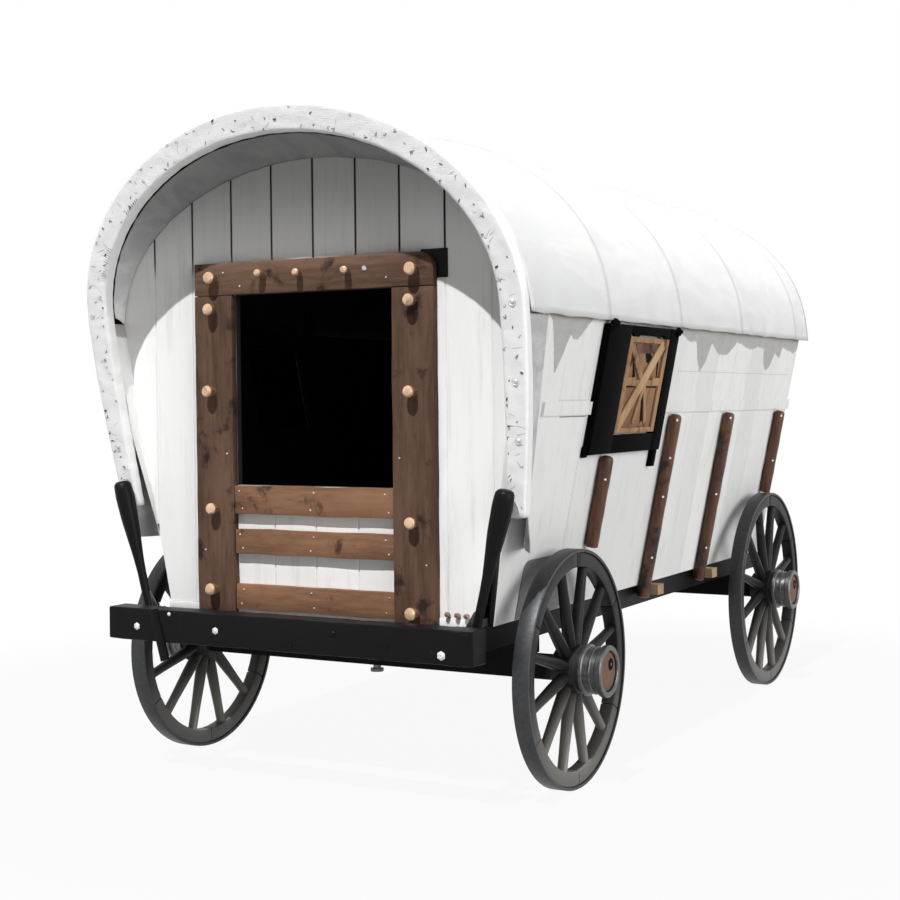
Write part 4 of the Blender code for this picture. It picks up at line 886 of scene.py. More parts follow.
def marked_boards(name, base):
    """A copy of a board finish with the painted hem shadow and the seams of a side wall laid over its colour."""
    made = base.copy()
    made.name = name
    tree = made.node_tree
    shader = tree.nodes["Principled BSDF"]
    inside = shader.inputs["Base Color"].links[0].from_node
    under = inside.inputs[6].links[0].from_socket
    axes = object_axes(tree)
    station = add_math(tree, "SUBTRACT", axes["Y"], FRONT_FACE)
    low, high = HEM_SHADOW_EDGE[0][0], HEM_SHADOW_EDGE[-1][0]
    floor_height, roof_height = 1.5, 1.9     # a Float Curve runs from 0 to 1, so the heights are scaled to it
    curve = tree.nodes.new("ShaderNodeFloatCurve")
    line = curve.mapping.curves[0]
    for number, (place, height) in enumerate(HEM_SHADOW_EDGE):
        spot = ((place - low) / (high - low), (height - floor_height) / (roof_height - floor_height))
        if number in (0, len(HEM_SHADOW_EDGE) - 1):
            line.points[0 if number == 0 else -1].location = spot
        else:
            line.points.new(*spot)
    for point in line.points:
        point.handle_type = "VECTOR"
    curve.mapping.update()
    tree.links.new(add_range(tree, station, low, high, 0.0, 1.0, False), curve.inputs["Value"])
    edge = add_range(tree, curve.outputs["Value"], 0.0, 1.0, floor_height, roof_height, False)
    # A grey band under the canvas hem, tan at its top, with three long points: a painted shadow of the hem.
    rough = add_noise(tree, placed_by(tree), 55.0, 4.0, 0.6)
    above = add_math(tree, "ADD", add_math(tree, "SUBTRACT", axes["Z"], edge),
                     times(tree, add_math(tree, "SUBTRACT", rough, 0.5), 0.030))
    band = add_range(tree, above, -0.004, 0.005)
    cloud = add_noise(tree, placed_by(tree, (1.0, 1.0, 1.6)), 14.0, 5.0, 0.65)
    grey = mixed(tree, cloud, (0.27, 0.267, 0.262), (0.46, 0.455, 0.445))
    grey = mixed(tree, add_range(tree, axes["Z"], 1.755, 1.795, 0.0, 0.55), grey, (0.36, 0.27, 0.18))
    colour = mixed(tree, times(tree, band, 0.86), under, grey)
    total = None
    for start, end, bottom, top, strength in SEAMS:
        line = times(tree, between(tree, station, start, end), between(tree, axes["Z"], bottom, top), strength)
        total = line if total is None else add_math(tree, "MAXIMUM", total, line)
    colour = mixed(tree, total, colour, (0.06, 0.055, 0.05))
    tree.links.new(colour, inside.inputs[6])
    return made


WALL_THICK = 0.025
HALF_WALL = WALL_THICK / 2
DOORWAY_EDGE = (0.362, 1.156, 1.899)
# The front wall gets painted shade under the hood, from 2.02 m up.
FRONT_BOARDS = painted_boards("front_boards", "X", FRONT_FACE + 0.014, tint=(0.89, 0.888, 0.880), gap=0.010,
                              dirty=0.25, painted_shade=(2.02, 2.36, 0.42), hole=DOORWAY_EDGE)
REAR_BOARDS = painted_boards("rear_boards", "X", REAR_FACE - HALF_WALL, inward=-1.0)
PLAIN_SIDE = painted_boards("plain_side", "Y", -0.003, 0.235, 0.003, joint=0.10, dirty=0.25)
SIDE_BOARDS = marked_boards("side_boards", PLAIN_SIDE)


# %% Finishes for the frame's own nodes
UNDERSIDE = ("front_axle", "rear_axle", "front_bolster", "rear_bolster", "reach_pole")
NODE_FINISH = {
    "side_wall": SIDE_BOARDS, "front_wall": FRONT_BOARDS, "rear_wall": REAR_BOARDS, "floor": FLOOR_WOOD_SHADED,
    "cross_sill": SILL_WOOD, "bow": BOW_WOOD_SHADED, "side_sill": BLACK_PAINT, "front_beam": BLACK_PAINT,
    "kingpin": HUB_IRON, "door_post": BROWN["Z"], "door_head": BROWN["X"], "door_slat": SLAT_WOOD,
    "stake": STAKE_WOOD, "lever": LEVER_PAINT, "window_frame": FRAME_PAINT, "shutter": SHUTTER_WOOD,
    "tyre": TYRE_IRON, "hub": HUB_IRON, "wheel": WHEEL_PAINT, "canopy": COVER_CANVAS, "hood": LINING_CANVAS,
    "front_arch": ARCH_CANVAS,
}
NODE_FINISH.update({name: UNDER_PAINT for name in UNDERSIDE})
finished = 0
for name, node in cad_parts.items():
    material = next((finish for start, finish in NODE_FINISH.items() if name.startswith(start)), None)
    if material is None:
        print("no finish for", name)
        continue
    for holder in node.material_slots:
        holder.material = material
    finished += 1
print("nodes finished:", finished, "of", len(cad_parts))

# %% [markdown]
# ## Wheels
# A wooden wheel has a nave in the middle, oval spokes let into it, and a rim of curved felloes inside an iron
# tyre. One spoke is drawn as a tower of oval rings: thick at the nave, slimmest near two thirds of its
# length, and a little wider where it meets the felloe. It is copied round the nave, as are the six felloes.

# %% Wheel sizes
RIM_FACETS = 48
FLAT = math.cos(math.pi / RIM_FACETS)       # the frame's tyres stand on the flat of a facet
TYRE_WIDTH, TYRE_THICK = 0.066, 0.012
FELLOE_DEPTH, FELLOE_WIDTH, FELLOE_GAP = 0.057, 0.054, 0.0022
SPOKE_COUNT, FELLOE_COUNT = 12, 6
ROUND = 96
NAVE_RADIUS, NAVE_END_RADIUS, BORE_RADIUS = 0.092, 0.078, 0.034
WHEEL_RADII = {"front": 0.457, "rear": 0.4955}     # over the corners of the frame's faceted tyres
MIDDLE = 0.900 - TYRE_WIDTH / 2             # middle plane of the rim, from the middle of the wagon
NAVE_LOW, NAVE_HIGH = 0.810 - MIDDLE, 0.930 - MIDDLE
HUB_LOW, HUB_HIGH = 0.9303 - MIDDLE, 1.023 - MIDDLE
SPOKE_SHAPE = (              # share of the length, half depth along the axle, half width round the wheel
    (0.00, 0.0262, 0.0200),
    (0.06, 0.0258, 0.0205),
    (0.16, 0.0252, 0.0232),
    (0.34, 0.0240, 0.0226),
    (0.55, 0.0222, 0.0200),
    (0.76, 0.0206, 0.0178),
    (0.90, 0.0204, 0.0178),
    (0.97, 0.0200, 0.0182),
    (1.00, 0.0200, 0.0178),
)


# %% Spoke, felloe, tyre
def make_spoke(start, end):
    """One spoke from the nave out to the felloe along local X."""
    rings = [(start + share * (end - start), deep, wide) for share, deep, wide in SPOKE_SHAPE]
    spoke = tower("spoke", rings, 20)
    # One face is flattened a little, as a drawknife leaves it.
    for vert in spoke.data.vertices:
        vert.co.x *= 1.0 - 0.05 * (vert.co.x > 0)
    return settle(spoke, OUTWARD)


def make_felloe(inner, outer, number, parts=10):
    """A curved block of rim, spun from its end face, with its inner edges chamfered between the spokes."""
    step = 2 * math.pi / FELLOE_COUNT
    slack = FELLOE_GAP / outer
    deselect()
    bpy.ops.mesh.primitive_plane_add(size=1.0, location=((inner + outer) / 2, 0, 0),
                                     rotation=(math.radians(90), 0, 0))
    felloe = bpy.context.object
    felloe.scale = (outer - inner, FELLOE_WIDTH, 1.0)
    settle(felloe, Matrix.Rotation(slack / 2, 4, "Z"))
    open_edit()
    bpy.ops.mesh.spin(steps=parts, angle=step - slack, center=(0, 0, 0), axis=(0, 0, 1))
    select_rim()
    bpy.ops.mesh.edge_face_add()
    bpy.ops.mesh.select_all(action="SELECT")
    bpy.ops.mesh.remove_doubles(threshold=TINY)
    close_edit()
    applied(felloe, "BEVEL", width=0.0045, segments=2, limit_method="ANGLE")
    return settle(felloe, Matrix.Rotation(number * step, 4, "Z"))


def make_tyre(radius):
    """A flat iron band with rounded edges."""
    half, thick, edge = TYRE_WIDTH / 2, TYRE_THICK, 0.003
    out = radius * FLAT
    profile = [(out - thick, half - edge / 2), (out - thick, -half + edge / 2), (out - edge, -half),
               (out - edge * 0.3, -half + edge * 0.4), (out, -half + edge), (out, half - edge),
               (out - edge * 0.3, half - edge * 0.4), (out - edge, half)]
    return turned("tyre", profile, ROUND, ring_shaped=True)


def make_wood(radius):
    """Felloes, spokes and nave as one wooden wheel."""
    outer = (radius - TYRE_THICK) * FLAT - 0.0008
    inner = radius - TYRE_THICK - FELLOE_DEPTH
    parts = [make_felloe(inner, outer, i) for i in range(FELLOE_COUNT)]
    parts[0].data.materials.append(WHEEL_PAINT)
    spoke = make_spoke(NAVE_RADIUS - 0.010, inner + 0.006)
    spoke.data.materials.append(SPOKE_PAINT)
    for i in range(SPOKE_COUNT):
        parts.append(copied(spoke, "spoke", Matrix.Rotation((i + 0.5) * 2 * math.pi / SPOKE_COUNT, 4, "Z")))
    remove(spoke)
    parts.append(turned("nave", [
        (BORE_RADIUS, NAVE_LOW), (NAVE_END_RADIUS - 0.003, NAVE_LOW), (NAVE_END_RADIUS, NAVE_LOW + 0.003),
        (NAVE_END_RADIUS + 0.001, NAVE_LOW + 0.018), (NAVE_RADIUS - 0.004, NAVE_LOW + 0.040),
        (NAVE_RADIUS, NAVE_LOW + 0.052), (NAVE_RADIUS, NAVE_HIGH - 0.022), (NAVE_RADIUS - 0.004, NAVE_HIGH - 0.018),
        (NAVE_RADIUS - 0.004, NAVE_HIGH - 0.002), (NAVE_RADIUS - 0.007, NAVE_HIGH), (BORE_RADIUS, NAVE_HIGH)],
        48, ring_shaped=True))
    for part in parts[1:FELLOE_COUNT] + parts[-1:]:
        part.data.materials.append(WHEEL_PAINT)
    return joined("wheel", parts)


# %% Hub
def make_hub():
    """The turned barrel outside the nave: two bands, a lip, and a dished end."""
    near, far = HUB_LOW, HUB_HIGH
    profile = [
        (BORE_RADIUS, near), (0.095, near), (0.098, near + 0.002), (0.098, near + 0.012), (0.095, near + 0.015),
        (0.088, near + 0.018), (0.0878, near + 0.034), (0.0905, near + 0.037), (0.0908, near + 0.043),
        (0.0878, near + 0.046), (0.0872, far - 0.032), (0.089, far - 0.029), (0.0955, far - 0.027),
        (0.098, far - 0.024), (0.098, far - 0.004), (0.0945, far), (0.080, far), (0.0765, far - 0.004),
        (0.0755, far - 0.022), (0.0725, far - 0.024), (BORE_RADIUS, far - 0.024)]
    return turned("hub", profile, 64, ring_shaped=True)


def make_cap():
    """The rusty cap in the hub's dished end, with the linchpin's hole as a black disc: painted shade."""
    far = HUB_HIGH
    profile = [(0.0740, far - 0.0150), (0.0740, far - 0.0110), (0.0680, far - 0.0085), (0.0480, far - 0.0068),
               (0.0200, far - 0.0062), (0.0100, far - 0.0060)]
    cap = turned("cap", profile, 48)
    cap.data.materials.append(RUST_IRON)
    # The linchpin's hole is a flat black disc: painted shade.
    hole = Matrix.Translation((-0.024, 0.020, 0.0))
    hole_shade = settle(turned("hole_shade", [(0.0235, far - 0.0082), (0.0235, far - 0.0056), (0.0100, far - 0.0054)], 24), hole)
    hole_shade.data.materials.append(SHADE_BLACK_PAINT)
    pin = settle(turned("pin", [(0.0065, far - 0.0062), (0.0065, far - 0.0045), (0.0050, far - 0.0040)], 12), hole)
    pin.data.materials.append(HUB_IRON)
    return joined("cap", [cap, hole_shade, pin])


# %% Four wheels
WHEELS = {}
for end in ("front", "rear"):
    low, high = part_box("tyre_%s_right" % end)
    radius = WHEEL_RADII[end]
    centre = Vector((0.0, (low.y + high.y) / 2, (low.z + high.z) / 2))
    WHEELS[end] = (radius, centre)
    models = {"tyre": (make_tyre(radius), TYRE_IRON, "iron"), "wheel": (make_wood(radius), WHEEL_PAINT, "black_wood"),
              "hub": (make_hub(), HUB_IRON, "iron"), "hub_cap": (make_cap(), RUST_IRON, "iron")}
    for side, way in SIDES:
        body = "wheel_%s_%s" % (end, side)
        place = Matrix.Translation((way * MIDDLE, centre.y, centre.z)) @ Matrix.Rotation(
            0.0 if way > 0 else math.pi, 4, "Z") @ OUTWARD
        for kind, (model, material, slot) in models.items():
            node = "%s_%s_%s" % (kind, end, side)
            piece = smooth(copied(model, node + "_shaped", place), 32)
            dress(piece, material, body, [node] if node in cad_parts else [])
    remove(*[model for model, material, slot in models.values()])
print("wheels:", {end: round(radius, 4) for end, (radius, centre) in WHEELS.items()})

# %% [markdown]
# ## Doorway
# The doorway is framed by brown boards, pegged to the wall with wooden pegs whose ends are painted pale as
# painted light and whose sides are painted dark as painted shade. The head board has one worn, rounded corner.
# Boards are blocks with rounded edges, sliced and moved a little along a noise, because a straight machine edge
# looks wrong beside the rough slats. A boolean would make the corner too, but a bevel of one edge gives a rounder
# one.

# %% Boards of the doorway
DOOR_HALF, DOOR_OUTSIDE = 0.360, 0.538
BOARD_THICK = 0.032
BOARD_FRONT, BOARD_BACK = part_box("door_head")[1].y - BOARD_THICK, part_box("door_head")[1].y
BOARD_SLICE = 0.05           # metres between the cuts that let a board be uneven
FLAT_BACK = 0.006            # metres in front of the wall that stay straight


def door_board(name, low, high, material, seed, wobble=0.0022, corner=None):
    """A rough board whose back stays flat on the wall; corner rounds its highest corner on the right."""
    board = block(name, low, high, 0.0)
    if corner:
        round_corner(board, lambda end: end.x > high[0] - TINY and end.z > high[2] - TINY, corner)
    applied(board, "BEVEL", width=0.003, segments=2)
    size = Vector(high) - Vector(low)
    axis = max(range(3), key=lambda i: size[i])
    sliced(board, axis, low[axis], size[axis], max(2, int(size[axis] / BOARD_SLICE)))
    for vert in board.data.vertices:
        moved = noise.noise_vector((vert.co + Vector((seed * 3.7, 0, seed * 1.9))) / 0.16) * wobble
        if vert.co.y > high[1] - FLAT_BACK:
            moved.y = 0.0
        vert.co += moved
        vert.co.y = min(vert.co.y, high[1])
    return dress(smooth(board, 30), material, "wagon", [name.replace("_shaped", "")])


for side, way in SIDES:
    node = "door_post_" + side
    low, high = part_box(node)
    inner, outer = sorted((way * (DOOR_HALF + 0.0005), way * DOOR_OUTSIDE))
    door_board(node + "_shaped", (inner, BOARD_FRONT, low.z), (outer, BOARD_BACK, high.z - 0.001),
               BROWN["Z"], way)
low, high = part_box("door_head")
door_board("door_head_shaped", (low.x, BOARD_FRONT, low.z + 0.001), (high.x, BOARD_BACK, high.z),
           BROWN["X"], 3, corner=0.062)
for number in (1, 2, 3):
    node = "door_slat_%d" % number
    low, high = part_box(node)
    door_board(node + "_shaped", low, (high.x, BOARD_BACK, high.z - 0.001), SLAT_WOOD,
               5 + number, 0.0035)
# Where a post meets the head, a short lap of the same wood lies behind both and closes the gap.
LAP_SIDE, LAP_HALF = 0.45, 0.080
head_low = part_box("door_head")[0].z
laps = [block("lap", (way * LAP_SIDE - LAP_HALF, BOARD_BACK - 0.024, head_low - 0.012),
              (way * LAP_SIDE + LAP_HALF, BOARD_BACK - 0.0005, head_low + 0.014), 0.001) for way in (1, -1)]
dress(joined("door_laps", laps), BROWN["Z"], "wagon")

# %% Pegs and nails
PEGS = (                     # sideways, height, radius, tilt to the side, tilt upwards
    (-0.445, 1.962, 0.0235, 4, 5), (-0.205, 1.965, 0.0150, -10, 14), (-0.040, 1.962, 0.0145, 6, 10),
    (0.175, 1.962, 0.0150, 8, 8), (0.462, 1.957, 0.0240, -4, 4),
    (-0.452, 1.840, 0.0225, 6, 4), (-0.455, 1.520, 0.0225, -5, 6), (-0.448, 1.060, 0.0220, 4, 8),
    (-0.452, 0.745, 0.0225, -4, 6), (0.450, 1.842, 0.0230, 5, 5), (0.452, 1.510, 0.0220, -6, 6),
    (0.448, 1.030, 0.0220, 5, 7), (0.452, 0.700, 0.0225, -5, 5),
)
PEG_SHAPE = (                # height over the board, share of the radius
    (-0.012, 0.76), (0.006, 0.82), (0.018, 1.00), (0.030, 1.06), (0.039, 0.98), (0.0445, 0.78), (0.0465, 0.45))
pegs = []
for number, (x, z, radius, sideways, upwards) in enumerate(PEGS):
    peg = turned("peg", [(radius * share, height) for height, share in PEG_SHAPE], 18)
    roughened(peg, 0.0014, 0.022, number)
    tilt = Matrix.Rotation(math.radians(90 - upwards), 4, "X") @ Matrix.Rotation(math.radians(sideways), 4, "Y")
    pegs.append(put(peg, (x, BOARD_FRONT, z), tilt))
dress(smooth(joined("door_pegs", pegs), 20), PEG_WOOD, "wagon")


def nail(place, radius=0.0055, proud=0.003):
    """A domed nail head on a face that looks forward."""
    head = turned("nail", [(radius, -0.002), (radius, 0.0), (radius * 0.75, proud * 0.7), (radius * 0.3, proud)], 10)
    return put(head, place, FORWARD)


SLAT_NAILS = (-0.33, 0.0, 0.33)      # sideways, two nails one above the other at each
NAILS = (                    # sideways, height, radius
    (0.246, 1.972, 0.011), (-0.32, 1.930, 0.004), (0.34, 1.935, 0.004), (-0.40, 1.985, 0.004),
    (-0.39, 1.28, 0.004), (0.39, 1.27, 0.004), (-0.50, 0.90, 0.004), (0.50, 0.88, 0.004))
nails = [nail((x, BOARD_FRONT, z), size, size * 0.5) for x, z, size in NAILS]
for number in (1, 2, 3):
    low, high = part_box("door_slat_%d" % number)
    for x in SLAT_NAILS:
        for z in (low.z + 0.022, high.z - 0.022):
            nails.append(nail((x + 0.008 * math.sin(9 * x + 40 * z), low.y, z), 0.0042, 0.0022))
print("pegs:", len(PEGS), "nails:", len(nails))
dress(smooth(joined("door_nails", nails), 30), NAIL_STEEL, "wagon")

# %% Skirt, corner plate and foot pegs
# A white skirt board hides the floor's front edge between the wall and the beam. A black plate stands behind the
# head board's worn corner, and three small pegs sit at the wall's right foot.
SKIRT_HALF, SKIRT_LOW, SKIRT_HIGH = 0.706, 0.6552, 0.6846
FOOT_PEGS = ((0.574, 0.0095), (0.615, 0.0100), (0.652, 0.0090))      # sideways, radius
FOOT_PEG_HEIGHT = 0.700
skirt = block("wall_skirt", (-SKIRT_HALF, FRONT_FACE - 0.005, SKIRT_LOW),
              (SKIRT_HALF, FRONT_FACE - 0.0003, SKIRT_HIGH), 0.0015)
dress(smooth(skirt, 30), FRONT_BOARDS, "wagon")
plate = block("corner_plate", (0.470, FRONT_FACE - 0.0030, 1.926), (0.583, FRONT_FACE - 0.0004, 2.032), 0.001)
dress(smooth(plate, 30), BLACK_PAINT, "wagon")
foot_pegs = []
for number, (x, radius) in enumerate(FOOT_PEGS):
    peg = turned("peg", [(radius * share, height * 0.5) for height, share in PEG_SHAPE], 10)
    tilt = Matrix.Rotation(math.radians(86 + 4 * number), 4, "X")
    foot_pegs.append(put(peg, (x, FRONT_FACE, FOOT_PEG_HEIGHT), tilt))
dress(smooth(joined("foot_pegs", foot_pegs), 20), PEG_WOOD, "wagon")
print("doorway done")

# %% [markdown]
# ## The canvas cover
# One sheet of canvas is stretched from the leaning arch over four bows and past the rear wall. It is tight over
# each bow and slack between them, with creases that run out from the bows, and its hem is pulled down to the
# walls at tie points, so it ripples. The sheet is lofted through hoops, because the real one has that form
# everywhere, and its creases are noise that fades at the bows. A cloth simulation of a tight sheet this size
# would only find the same form again.

# %% Sizes of the hood
WALL_TOP = WALL_HIGH.z
ARCH_FOOT, ARCH_TOP, ARCH_SPRING = 1.060, 2.560, WALL_TOP + 0.020
ARCH_HALF, ARCH_HALF_FOOT = HALF_TOP + 0.022, wall_out(1.060) + 0.1035
ARCH_BAND, ARCH_BAND_FOOT, ARCH_THICK = 0.100, 0.074, 0.050
CANVAS_EDGE, CANVAS_HALF, CANVAS_TOP = WALL_TOP - 0.015, HALF_TOP + 0.020, ARCH_TOP - 0.004
CANVAS_END = 3.324
SAG = 0.024
LEAN, LEAN_AHEAD, LEAN_LEVEL = 0.1667, 0.032, 1.0


def arch_front(z):
    """Station of the front of the leaning arch at a height."""
    return -LEAN_AHEAD - LEAN * (z - LEAN_LEVEL)


def arch_half(z, half_spring, half_foot):
    """Half width of one edge of the arch's legs at a height."""
    share = min(max((z - ARCH_FOOT) / (ARCH_SPRING - ARCH_FOOT), 0.0), 1.0)
    return half_foot + (half_spring - half_foot) * math.sin(share * math.pi / 2)


def cloth_piece(name, rows, cyclic=False):
    """A mesh through rows of points; cyclic joins the last point of each row to its first."""
    count = len(rows[0])
    verts = [point for row in rows for point in row]
    faces = []
    for low in range(0, (len(rows) - 1) * count, count):
        high = low + count
        for i in range(count - (0 if cyclic else 1)):
            j = (i + 1) % count
            faces.append((low + i, low + j, high + j, high + i))
    mesh = bpy.data.meshes.new(name)
    mesh.from_pydata(verts, [], faces)
    obj = bpy.data.objects.new(name, mesh)
    bpy.context.scene.collection.objects.link(obj)
    only(obj)
    open_edit()
    close_edit()
    bpy.ops.object.shade_smooth()
    return obj


print("arch:", ARCH_FOOT, "to", ARCH_TOP, "canvas half width:", CANVAS_HALF)

# %% Cover
CANVAS_SKIN = 0.006
HOOP_PARTS = 120
ROWS_PER_METRE = 36
HEM_TIES = 0.262             # metres between the places where the hem is tied down


def slack(station):
    """0 on a bow, 1 in the middle between two bows."""
    stops = (arch_front(WALL_TOP) + ARCH_THICK,) + BOWS + (CANVAS_END,)
    for start, end in zip(stops, stops[1:]):
        if start <= station <= end:
            share = (station - start) / (end - start)
            if end == CANVAS_END:
                return 0.30 * math.sin(share * math.pi / 2)
            return math.sin(share * math.pi) ** 0.55
    return 0.0


def cover_point(station, share):
    """A point of the sheet: station along, share 0 to 1 from the right hem over the top to the left hem."""
    drop = ARCH_SPRING - CANVAS_EDGE
    girth = math.pi * (CANVAS_HALF + CANVAS_TOP - ARCH_SPRING) / 2
    total = girth + 2 * drop
    run = share * total
    loose = slack(station)
    sag = SAG * loose
    half, rise = CANVAS_HALF - sag * 0.3, CANVAS_TOP - sag - ARCH_SPRING
    if run < drop:
        x, z, angle = half, CANVAS_EDGE + run, 0.0
    elif run > total - drop:
        x, z, angle = -half, CANVAS_EDGE + total - run, math.pi
    else:
        angle = (run - drop) / girth * math.pi
        x, z = half * math.cos(angle), ARCH_SPRING + rise * math.sin(angle)
    here = Vector((x * 2.2, station * 1.1 + z * 0.9 * math.copysign(1.0, x), z * 2.2))
    crease = noise.fractal(here * 1.3, 0.8, 2.2, 2) * 0.0030 * loose
    ridge = abs(noise.noise(Vector((x * 1.3 + 7.0, station * 3.4 - abs(x) * 2.0, z * 2.6))))
    crease -= 0.0020 * loose * max(0.0, 0.30 - ridge)
    out = Vector((math.cos(angle) / half, math.sin(angle) / max(rise, 0.1)))
    out.normalize()
    x += out.x * crease
    z += out.y * crease
    # The hem: pulled in and down at each tie, proud and a little higher between two ties.
    low = max(0.0, 1.0 - (z - CANVAS_EDGE) / 0.16)
    tie = abs(math.sin(math.pi * (station + 0.05 * math.sin(station * 5.0)) / HEM_TIES))
    x += math.copysign(1.0, x) * (0.003 + 0.006 * tie ** 1.5) * low ** 2
    z += (0.003 * tie - 0.003 + 0.003 * noise.noise(Vector((station * 6.0, x, 0.0)))) * low ** 3
    return x, z


def cover_rows():
    """Rows of points from hem to hem; the first leans with the arch and the rows at the first bow are upright."""
    lean_end = BOWS[0]
    start = arch_front(WALL_TOP) + ARCH_THICK
    count = int((CANVAS_END - start) * ROWS_PER_METRE)
    rows = []
    for r in range(count + 1):
        station = start + (CANVAS_END - start) * r / count
        lean = max(0.0, 1.0 - (station - start) / (lean_end - start))
        row = []
        for i in range(HOOP_PARTS + 1):
            x, z = cover_point(station, i / HOOP_PARTS)
            behind_arch = arch_front(z) + ARCH_THICK + 0.0005
            row.append((x, at(station + lean * (behind_arch - start)), z))
        rows.append(row)
    return rows


cover = cloth_piece("canvas_cover", cover_rows())
cover.data.materials.append(COVER_CANVAS)
cover.data.materials.append(UNDERSIDE_CANVAS_SHADED)
applied(cover, "SOLIDIFY", thickness=CANVAS_SKIN, offset=-1.0, material_offset=1, material_offset_rim=0)
dress(cover, COVER_CANVAS, "wagon", ["canopy"])

# %% [markdown]
# ## The arch
# The front edge of the hood is a bent wooden hoop, wrapped in canvas that is sewn tight round it. Its flat face
# looks forward and carries two loose rows of dark stitches, small puckers at each of them, and a few lacing
# eyelets along the outside. The wrapped hoop is a soft rectangle swept round the arch.

# %% Wrapped hoop
ARCH_STEPS = 220
BAND_SECTION = (             # across the band from its inner edge 0 to its outer edge 1, and front 0 to back 1
    (0.00, 0.50), (0.00, 0.16), (0.03, 0.05), (0.10, 0.00), (0.22, 0.00), (0.36, 0.00), (0.50, 0.00), (0.64, 0.00),
    (0.78, 0.00), (0.90, 0.00), (0.97, 0.05), (1.00, 0.16), (1.00, 0.50), (1.00, 0.84), (0.97, 0.95), (0.90, 1.00),
    (0.50, 1.00), (0.10, 1.00), (0.03, 0.95), (0.00, 0.84),
)


def arch_line(run):
    """(inner, outer) points across the band, for a run from 0 at the right foot to 1 at the left foot."""
    legs = (ARCH_SPRING - ARCH_FOOT)
    over = math.pi * (ARCH_HALF + ARCH_TOP - ARCH_SPRING) / 2
    total = 2 * legs + over
    here = run * total
    if here < legs or here > total - legs:
        z = ARCH_FOOT + (here if here < legs else total - here)
        way = 1.0 if here < legs else -1.0
        outer = Vector((way * arch_half(z, ARCH_HALF, ARCH_HALF_FOOT), z))
        inner = Vector((way * arch_half(z, ARCH_HALF - ARCH_BAND, ARCH_HALF_FOOT - ARCH_BAND_FOOT), z))
    else:
        angle = (here - legs) / over * math.pi
        outer = Vector((ARCH_HALF * math.cos(angle), ARCH_SPRING + (ARCH_TOP - ARCH_SPRING) * math.sin(angle)))
        inner = Vector(((ARCH_HALF - ARCH_BAND) * math.cos(angle),
                        ARCH_SPRING + (ARCH_TOP - ARCH_BAND - ARCH_SPRING) * math.sin(angle)))
    return inner, outer


def pucker(run, across):
    """How far the wrapping stands in or out of its plane."""
    here = Vector((run * 60.0, across * 2.5, 0.0))
    gather = 0.0020 * noise.noise(here * 1.0) + 0.0012 * noise.noise(here * 2.6)
    return gather + 0.0007 * math.sin(run * 420.0 + 3 * across) * (1 - across)


def arch_point(run, across, deep):
    """A point on the wrapped hoop's skin."""
    inner, outer = arch_line(run)
    spot = inner.lerp(outer, across)
    lift = pucker(run, across)
    front = 0.0
    if deep < 0.1:
        front = -lift - 0.001
    else:
        spot += (outer - inner).normalized() * lift * (0.5 if across > 0.5 else -1.0)
    return Vector((spot.x, at(arch_front(spot.y) + ARCH_THICK * deep) + front, spot.y))


rows = [[arch_point(r / ARCH_STEPS, across, deep) for across, deep in BAND_SECTION] for r in range(ARCH_STEPS + 1)]
hoop = cloth_piece("arch_cover", rows, cyclic=True)
only(hoop)
open_edit()
select_rim()
bpy.ops.mesh.edge_face_add()
close_edit()
applied(hoop, "SUBSURF", levels=1, render_levels=1)
smooth(hoop, 60)
dress(hoop, ARCH_CANVAS, "wagon", ["front_arch"])
print("hoop:", len(hoop.data.polygons), "faces")

# %% Stitches, loops and eyelets
random.seed(11)


def stitch(run, across, size, turn, thick=0.0016):
    """A short thread that dips into the wrapping at both ends."""
    centre = arch_point(run, across, 0.0)
    ahead = (arch_point(min(run + 0.002, 1.0), across, 0.0) - centre).normalized()
    inner, outer = arch_line(run)
    beside = Vector((outer.x - inner.x, 0.0, outer.y - inner.y)).normalized()
    way = ahead * math.cos(turn) + beside * math.sin(turn)
    thread = tower("stitch", [(-size / 2, thick * 0.5, thick * 0.5), (-size * 0.25, thick, thick),
                              (size * 0.25, thick, thick), (size / 2, thick * 0.5, thick * 0.5)], 6)
    return put(thread, centre + Vector((0.0, -thick * 0.3, 0.0)),
               way.to_track_quat("Z", "Y").to_matrix().to_4x4())


def ring(run, across, radius, thick, turn=0.0, flat=0.8):
    """A small loop of thread or a grommet that lies on the wrapping."""
    shape = turned("ring", [(radius - thick, 0.0), (radius, thick * 0.5), (radius + thick, 0.0),
                            (radius, -thick * 0.5)], 14, ring_shaped=True)
    settle(shape, Matrix.Rotation(turn, 4, "Z") @ Matrix.Diagonal((1.0, flat, 1.0, 1.0)))
    return put(shape, arch_point(run, across, 0.0) + Vector((0.0, -thick * 0.4, 0.0)), FORWARD)


